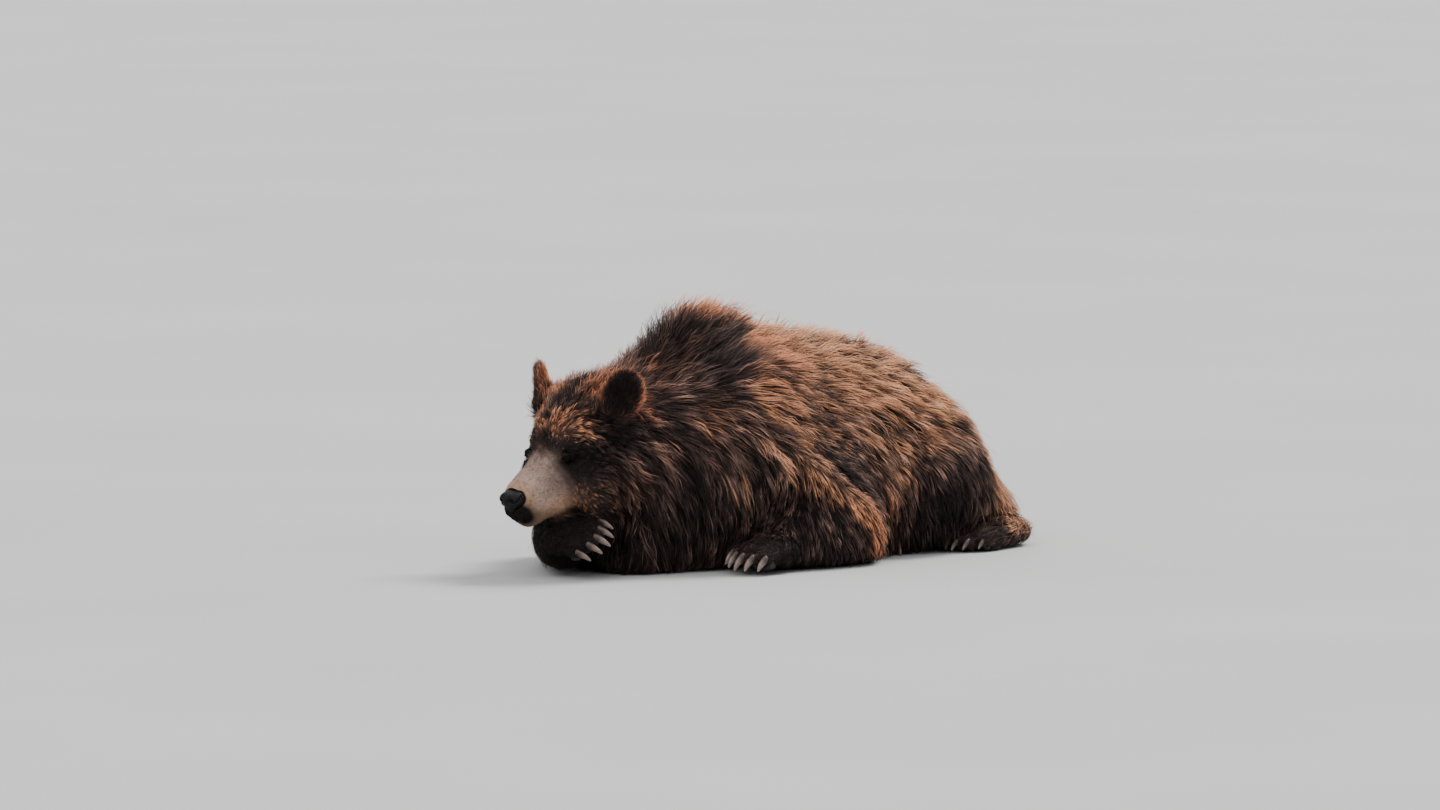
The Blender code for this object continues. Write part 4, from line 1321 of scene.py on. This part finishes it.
def make_nose(finish):
    """The bare nose pad, with comma-shaped nostrils and the groove between them."""
    bm = bmesh.new()
    bmesh.ops.create_uvsphere(bm, u_segments=48, v_segments=32, radius=1)
    for vertex in bm.verts:
        square = [math.copysign(abs(c) ** power, c) for c, power in zip(vertex.co, (0.80, 0.85, 0.80))]
        vertex.co = HEAD @ Vector(NOSE_CENTRE + NOSE_RADII * square)
    ball(bm, (0, 0.028, -0.024), (0.0145, 0.0130, 0.0145), HEAD)
    for _, side in SIDES:
        ball(bm, (0.0100 * side, 0.0205, -0.004), (0.0100, 0.0085, 0.0100), HEAD)
    pad = add_object("nose_pad", mesh_of(bm, "nose_pad"))
    remesh(pad, NOSE_CELL)
    mesh = pad.data
    edges = edges_of(mesh)
    co = spread(points_of(mesh), edges, 16, 0.3)
    move_points(mesh, co)
    co, normal = points_of(mesh), normals_of(mesh)
    local = to_head(co)
    side_local = folded_side(local)
    hole = bump(side_local, (0.0140, 0.010, -0.0120), (0.0055, 0.0140, 0.0052))
    slit_line = np.array((
        (0.0165, 0.011, -0.0150), (0.0240, 0.017, -0.0165), (0.0290, 0.026, -0.0120),
        (0.0300, 0.036, -0.0030),
    ))
    slit = along_line(side_local, slit_line, 0.0021)
    groove = bell(local[:, 0], 0.0014) * ramp(local[:, 1], 0.030, 0.018)
    wing = bump(side_local, (0.0230, 0.016, -0.0060), (0.0060, 0.0090, 0.0050))
    inward = head_vectors(np.array((0, 1.0, 0.10)))
    co = co + inward * (0.0120 * hole)[:, None]
    co = co - normal * (0.0040 * slit + 0.0014 * groove - 0.0010 * wing)[:, None]
    move_points(mesh, co)
    mesh.shade_smooth()
    hand_over(pad, finish, "bare_skin", "nose")


def paw_frame(wrist, fingers, across):
    """A frame at the wrist: -Y along the fingers, X across the paw, Z out of its back."""
    y = -Vector(fingers).normalized()
    x = Vector(across)
    x = (x - y * x.dot(y)).normalized()
    origin = Vector(wrist) + Vector(BEAR_ORIGIN)
    return Matrix.Translation(origin) @ Matrix((x, y, x.cross(y))).transposed().to_4x4()


# A paw's half width, length and half thickness, then its claws' reach, half depth at the root, turn down
# there and paleness at the tip. soles are the pads behind the toes, in shares of those sizes: how far
# along, how far down, how wide and how long.
FORE = dict(width=0.062, length=0.150, thick=0.036, reach=0.041, deep=0.0112, down=0.30, pale=1.0,
            soles=((0.62, 0.58, 0.90, 0.15),))
HIND = dict(width=0.060, length=0.260, thick=0.037, reach=0.034, deep=0.0080, down=0.15, pale=0.5,
            soles=((0.60, 0.58, 0.90, 0.15), (0.33, 0.52, 0.80, 0.28)))
PAWS = {
    "forepaw_left": (paw_frame((0.272, -0.030, 0.052), (-0.06, -1.0, -0.06), (1.0, -0.06, -0.10)), FORE),
    "forepaw_right": (paw_frame((-0.048, -0.453, 0.095), (0.995, -0.06, 0.02), (0.0, 0.74, 0.67)), FORE),
    "hindpaw_left": (paw_frame((0.282, 0.776, 0.034), (0.10, -1.0, -0.02), (1, 0, 0)), HIND),
    "hindpaw_right": (paw_frame((-0.282, 0.776, 0.034), (-0.10, -1.0, -0.02), (1, 0, 0)), HIND),
}


def toe_tips(size):
    """Where the five toes end: across, along and how much smaller the outer ones are."""
    tips = []
    for i in range(5):
        t = (i - 2) / 2
        tips.append((0.78 * t * size["width"], -size["length"] * (1 - 0.14 * t * t), 1 - 0.10 * abs(t)))
    return tips


def make_claw(name, place, size, toe, finish):
    """A tapering claw, curved down, narrower than it is tall and flat beneath."""
    steps, around = 18, 20
    across, along, smaller = toe
    root = np.array((across, along + 0.016, -0.12 * size["thick"]))
    radius = size["reach"] * smaller / CLAW_ARC
    first = np.array((0, -math.sin(size["down"]), math.cos(size["down"])))
    bm = bmesh.new()
    share = bm.verts.layers.float.new("from_root")
    rings = []
    for i in range(steps):
        t = i / (steps - 1)
        a = size["down"] + CLAW_ARC * t
        out = np.array((0, -math.sin(a), math.cos(a)))
        centre = root + radius * (out - first)
        tall = size["deep"] * smaller * max(1 - t, 0) ** 0.48 + 0.0010 * (1 - 0.8 * t)
        ring = []
        for k in range(around):
            b = 2 * math.pi * k / around
            under = 1 - 0.28 * max(0, -math.sin(b)) ** 3
            p = centre + np.array((0.66, 0, 0)) * tall * math.cos(b) + out * tall * math.sin(b) * under
            vertex = bm.verts.new(place @ Vector(p))
            vertex[share] = t * size["pale"]
            ring.append(vertex)
        rings.append(ring)
    for low, high in zip(rings, rings[1:]):
        for k in range(around):
            bm.faces.new((low[k], low[(k + 1) % around], high[(k + 1) % around], high[k]))
    bm.faces.new(rings[0])
    bm.faces.new(rings[-1])
    bmesh.ops.recalc_face_normals(bm, faces=bm.faces)
    mesh = mesh_of(bm, f"{name}_horn")
    mesh.shade_smooth()
    hand_over(add_object(f"{name}_horn", mesh), finish, "claw_horn", name)


def make_pads(name, place, size, finish):
    """The soft pads under the toes and the palm or sole."""
    bm = bmesh.new()
    thick, length, width = size["thick"], size["length"], size["width"]
    for across, along, smaller in toe_tips(size):
        centre = (across, along + 0.026, -0.22 * thick - 0.0075)
        ball(bm, centre, (0.0108 * smaller, 0.0135 * smaller, 0.0110), place)
    for along, down, wide, long in size["soles"]:
        ball(bm, (0, -along * length, -down * thick), (wide * width, long * length, 0.50 * thick), place)
    made = add_object(f"{name}_pads", mesh_of(bm, f"{name}_pads"))
    remesh(made, PAD_CELL)
    mesh = made.data
    co = spread(points_of(mesh), edges_of(mesh), 8, 0.3)
    co[:, 2] = np.maximum(co[:, 2], PAD_CLEAR)
    move_points(mesh, co)
    mesh.shade_smooth()
    hand_over(made, finish, "bare_skin")


# ---------------------------------------------------------------- materials


class Shader:
    """A material with its Principled BSDF, and short ways to add and join nodes."""

    def __init__(self, name, roughness, specular=0.5):
        self.made = bpy.data.materials.new(name)
        self.made.use_nodes = True
        self.nodes, self.links = self.made.node_tree.nodes, self.made.node_tree.links
        self.surface = self.nodes["Principled BSDF"]
        self.surface.inputs["Roughness"].default_value = roughness
        self.surface.inputs["Specular IOR Level"].default_value = specular

    def node(self, kind, inputs=(), **settings):
        made = self.nodes.new(kind)
        for key, value in settings.items():
            setattr(made, key, value)
        for key, value in dict(inputs).items():
            if isinstance(value, bpy.types.NodeSocket):
                self.links.new(value, made.inputs[key])
            else:
                made.inputs[key].default_value = value
        return made

    def read(self, name, output="Color"):
        return self.node("ShaderNodeAttribute", attribute_name=name).outputs[output]

    def place(self):
        return self.node("ShaderNodeTexCoord").outputs["Object"]

    def noise(self, scale, detail):
        inputs = {"Vector": self.place(), "Scale": scale, "Detail": detail}
        return self.node("ShaderNodeTexNoise", inputs).outputs["Fac"]

    def ramp(self, value, *stops):
        """Colours at places along value: each stop is a place and a colour."""
        made = self.node("ShaderNodeValToRGB", {"Fac": value})
        bar = made.color_ramp.elements
        while len(bar) < len(stops):
            bar.new(0.5)
        for element, (place, colour) in zip(bar, stops):
            element.position = place
            element.color = (*colour, 1)
        return made.outputs["Color"]

    def range(self, value, low, high, to_low, to_high):
        made = self.node("ShaderNodeMapRange", {0: value, 1: low, 2: high, 3: to_low, 4: to_high})
        return made.outputs["Result"]

    def colour(self, socket):
        self.links.new(socket, self.surface.inputs["Base Color"])

    def shaded(self, base, value, *stops):
        """The base colour, darker and lighter along value: each stop is a place and a factor."""
        shade = self.ramp(value, *((place, (factor,) * 3) for place, factor in stops))
        inputs = {0: 1.0, 6: base, 7: shade}
        made = self.node("ShaderNodeMix", inputs, data_type="RGBA", blend_type="MULTIPLY")
        self.colour(made.outputs[2])

    def rough(self, socket):
        self.links.new(socket, self.surface.inputs["Roughness"])

    def bump(self, height, depth, strength):
        made = self.node("ShaderNodeBump", {"Height": height, "Distance": depth, "Strength": strength})
        self.links.new(made.outputs["Normal"], self.surface.inputs["Normal"])
        return self.made


def fur_finish():
    """Hair: the tuft's own colour, a little lighter and darker from place to place."""
    shader = Shader("grizzly_fur", 0.55, 0.10)
    streak = shader.noise(420.0, 2.0)
    shader.shaded(shader.read("coat_colour"), streak, (0.25, 0.72), (0.75, 1.25))
    return shader.bump(streak, 0.0005, 0.3)


def skin_finish():
    """Hide under the coat: the coat's colours with their painted highlight and shade, the bare lids and
    lips, and fine short fur in relief.
    """
    shader = Shader("hide", 0.7, 0.06)
    fine = shader.noise(900.0, 3.0)
    shader.shaded(shader.read("coat_colour"), fine, (0.3, 0.6), (0.7, 1.2))
    shader.rough(shader.range(shader.read("bare", "Fac"), 0.2, 0.8, 0.75, 0.60))
    return shader.bump(fine, 0.0008, 0.5)


def leathery(shader, grain, broad, dark, light):
    """Cloudy colours and small round grains; hands back the clouds and the grains."""
    clouds = shader.noise(broad, 4.0)
    shader.colour(shader.ramp(clouds, (0.3, dark), (0.7, light)))
    inputs = {"Vector": shader.place(), "Scale": grain}
    grains = shader.node("ShaderNodeTexVoronoi", inputs, feature="F1")
    return clouds, grains.outputs["Distance"]


def nose_finish():
    """Wet leathery skin."""
    shader = Shader("nose_skin", 0.5, 0.12)
    dark, light = (0.0030, 0.0026, 0.0026), (0.0085, 0.0072, 0.0072)
    clouds, grains = leathery(shader, 620.0, 90.0, dark, light)
    shader.rough(shader.range(clouds, 0.3, 0.7, 0.42, 0.62))
    return shader.bump(grains, 0.0006, 0.6)


def pad_finish():
    """Dry leathery skin, worn grey."""
    shader = Shader("paw_pad", 0.78, 0.25)
    _, grains = leathery(shader, 460.0, 60.0, (0.012, 0.010, 0.010), (0.035, 0.030, 0.028))
    return shader.bump(grains, 0.0007, 0.7)


def horn_finish():
    """Claw horn, dark at the root and pale towards the worn tip, finely mottled."""
    shader = Shader("claw_horn", 0.42, 0.35)
    along = shader.read("from_root", "Fac")
    base = shader.ramp(along, (0.25, HORN_DARK), (0.55, HORN_PALE), (0.85, HORN_PALE), (1.0, HORN_WORN))
    mottle = shader.noise(260.0, 4.0)
    shader.shaded(base, mottle, (0.3, 0.62), (0.7, 1.15))
    return shader.bump(mottle, 0.0004, 0.5)


def eye_finish():
    """A dark brown eye: pupil, iris, dark ring and the brown white round it."""
    shader = Shader("eye_wet", 0.06, 0.07)
    from_pupil = shader.range(shader.read("from_pupil", "Fac"), 0.0, 1.4, 0.0, 1.0)
    pupil, iris, iris_edge = (0.001, 0.001, 0.001), (0.0045, 0.0022, 0.0014), (0.006, 0.003, 0.0016)
    ring, white = (0.0015, 0.001, 0.001), (0.002, 0.0015, 0.0015)
    shader.colour(shader.ramp(
        from_pupil, (0.17, pupil), (0.21, iris), (0.42, iris_edge), (0.50, ring), (0.62, white),
    ))
    return shader.made


def floor_finish():
    shader = Shader("pale_floor", 0.85)
    clouds = shader.noise(0.8, 2.0)
    shader.colour(shader.ramp(clouds, (0.3, (0.37, 0.37, 0.365)), (0.7, (0.40, 0.40, 0.395))))
    return shader.made


# ---------------------------------------------------------------- floor, light and camera

VIEW_TURN, VIEW_RISE = 40.0, 5.0
VIEW_FAR, VIEW_LENS = 26.67, 300.0
VIEW_AIM = Vector(BEAR_ORIGIN) + Vector((0.0145, 0.0519, 0.3476))


def make_floor():
    bm = bmesh.new()
    bmesh.ops.create_grid(bm, x_segments=1, y_segments=1, size=60)
    mesh = mesh_of(bm, "floor")
    floor = add_object("floor", mesh)
    mesh.materials.append(floor_finish())


def add_aimed(name, data, turn, rise, far, aim=(0, 0, 0)):
    """A lamp or camera that looks at aim, turned round the bear from its face and raised, in degrees."""
    made = add_object(name, data)
    turn, rise = math.radians(turn), math.radians(rise)
    away = Vector((math.sin(turn) * math.cos(rise), -math.cos(turn) * math.cos(rise), math.sin(rise)))
    made.location = Vector(aim) + away * far
    made.rotation_mode = "QUATERNION"
    made.rotation_quaternion = away.to_track_quat("Z", "Y")
    return made


def add_lamp(name, turn, rise, strength, softness):
    """A broad far lamp; softness is its width in degrees."""
    lamp = bpy.data.lights.new(name, "SUN")
    lamp.energy, lamp.angle = strength, math.radians(softness)
    add_aimed(name, lamp, turn, rise, 5)


def make_light():
    """A sky that is brighter overhead, a strong high lamp behind the bear and a weak one in front."""
    world = bpy.data.worlds.new("studio")
    world.use_nodes = True
    nodes, links = world.node_tree.nodes, world.node_tree.links
    place = nodes.new("ShaderNodeTexCoord")
    split = nodes.new("ShaderNodeSeparateXYZ")
    rise = nodes.new("ShaderNodeMapRange")
    for socket, value in zip(("From Min", "From Max", "To Min", "To Max"), (-0.1, 0.9, 0.74, 1.30)):
        rise.inputs[socket].default_value = value
    sky = nodes["Background"]
    sky.inputs["Color"].default_value = (0.98, 0.99, 1.0, 1)
    links.new(place.outputs["Generated"], split.inputs["Vector"])
    links.new(split.outputs["Z"], rise.inputs["Value"])
    links.new(rise.outputs["Result"], sky.inputs["Strength"])
    SCENE.world = world
    add_lamp("back_lamp", 165, 52, 4.2, 20)
    add_lamp("front_lamp", 18, 40, 1.45, 45)


def make_camera():
    lens = bpy.data.cameras.new("view")
    lens.lens, lens.sensor_width = VIEW_LENS, 36.0
    lens.clip_start, lens.clip_end = 1.0, 200.0
    SCENE.camera = add_aimed("view", lens, VIEW_TURN, VIEW_RISE, VIEW_FAR, VIEW_AIM)


# ---------------------------------------------------------------- the whole bear


def main():
    make_floor()
    make_light()
    make_camera()
    fur, hide = fur_finish(), skin_finish()
    skin = make_skin()
    owner = dress_skin(skin)
    hand_over(skin, hide, "fur", *FLESH_NODES)
    make_coat(skin, owner, fur)
    wet, horn, pads = eye_finish(), horn_finish(), pad_finish()
    make_nose(nose_finish())
    for label, side in SIDES:
        make_eye(label, side, wet)
    for name, (place, size) in PAWS.items():
        make_pads(name, place, size, pads)
        for number, toe in enumerate(toe_tips(size), 1):
            make_claw(f"{name}_claw_{number}", place, size, toe, horn)


main()
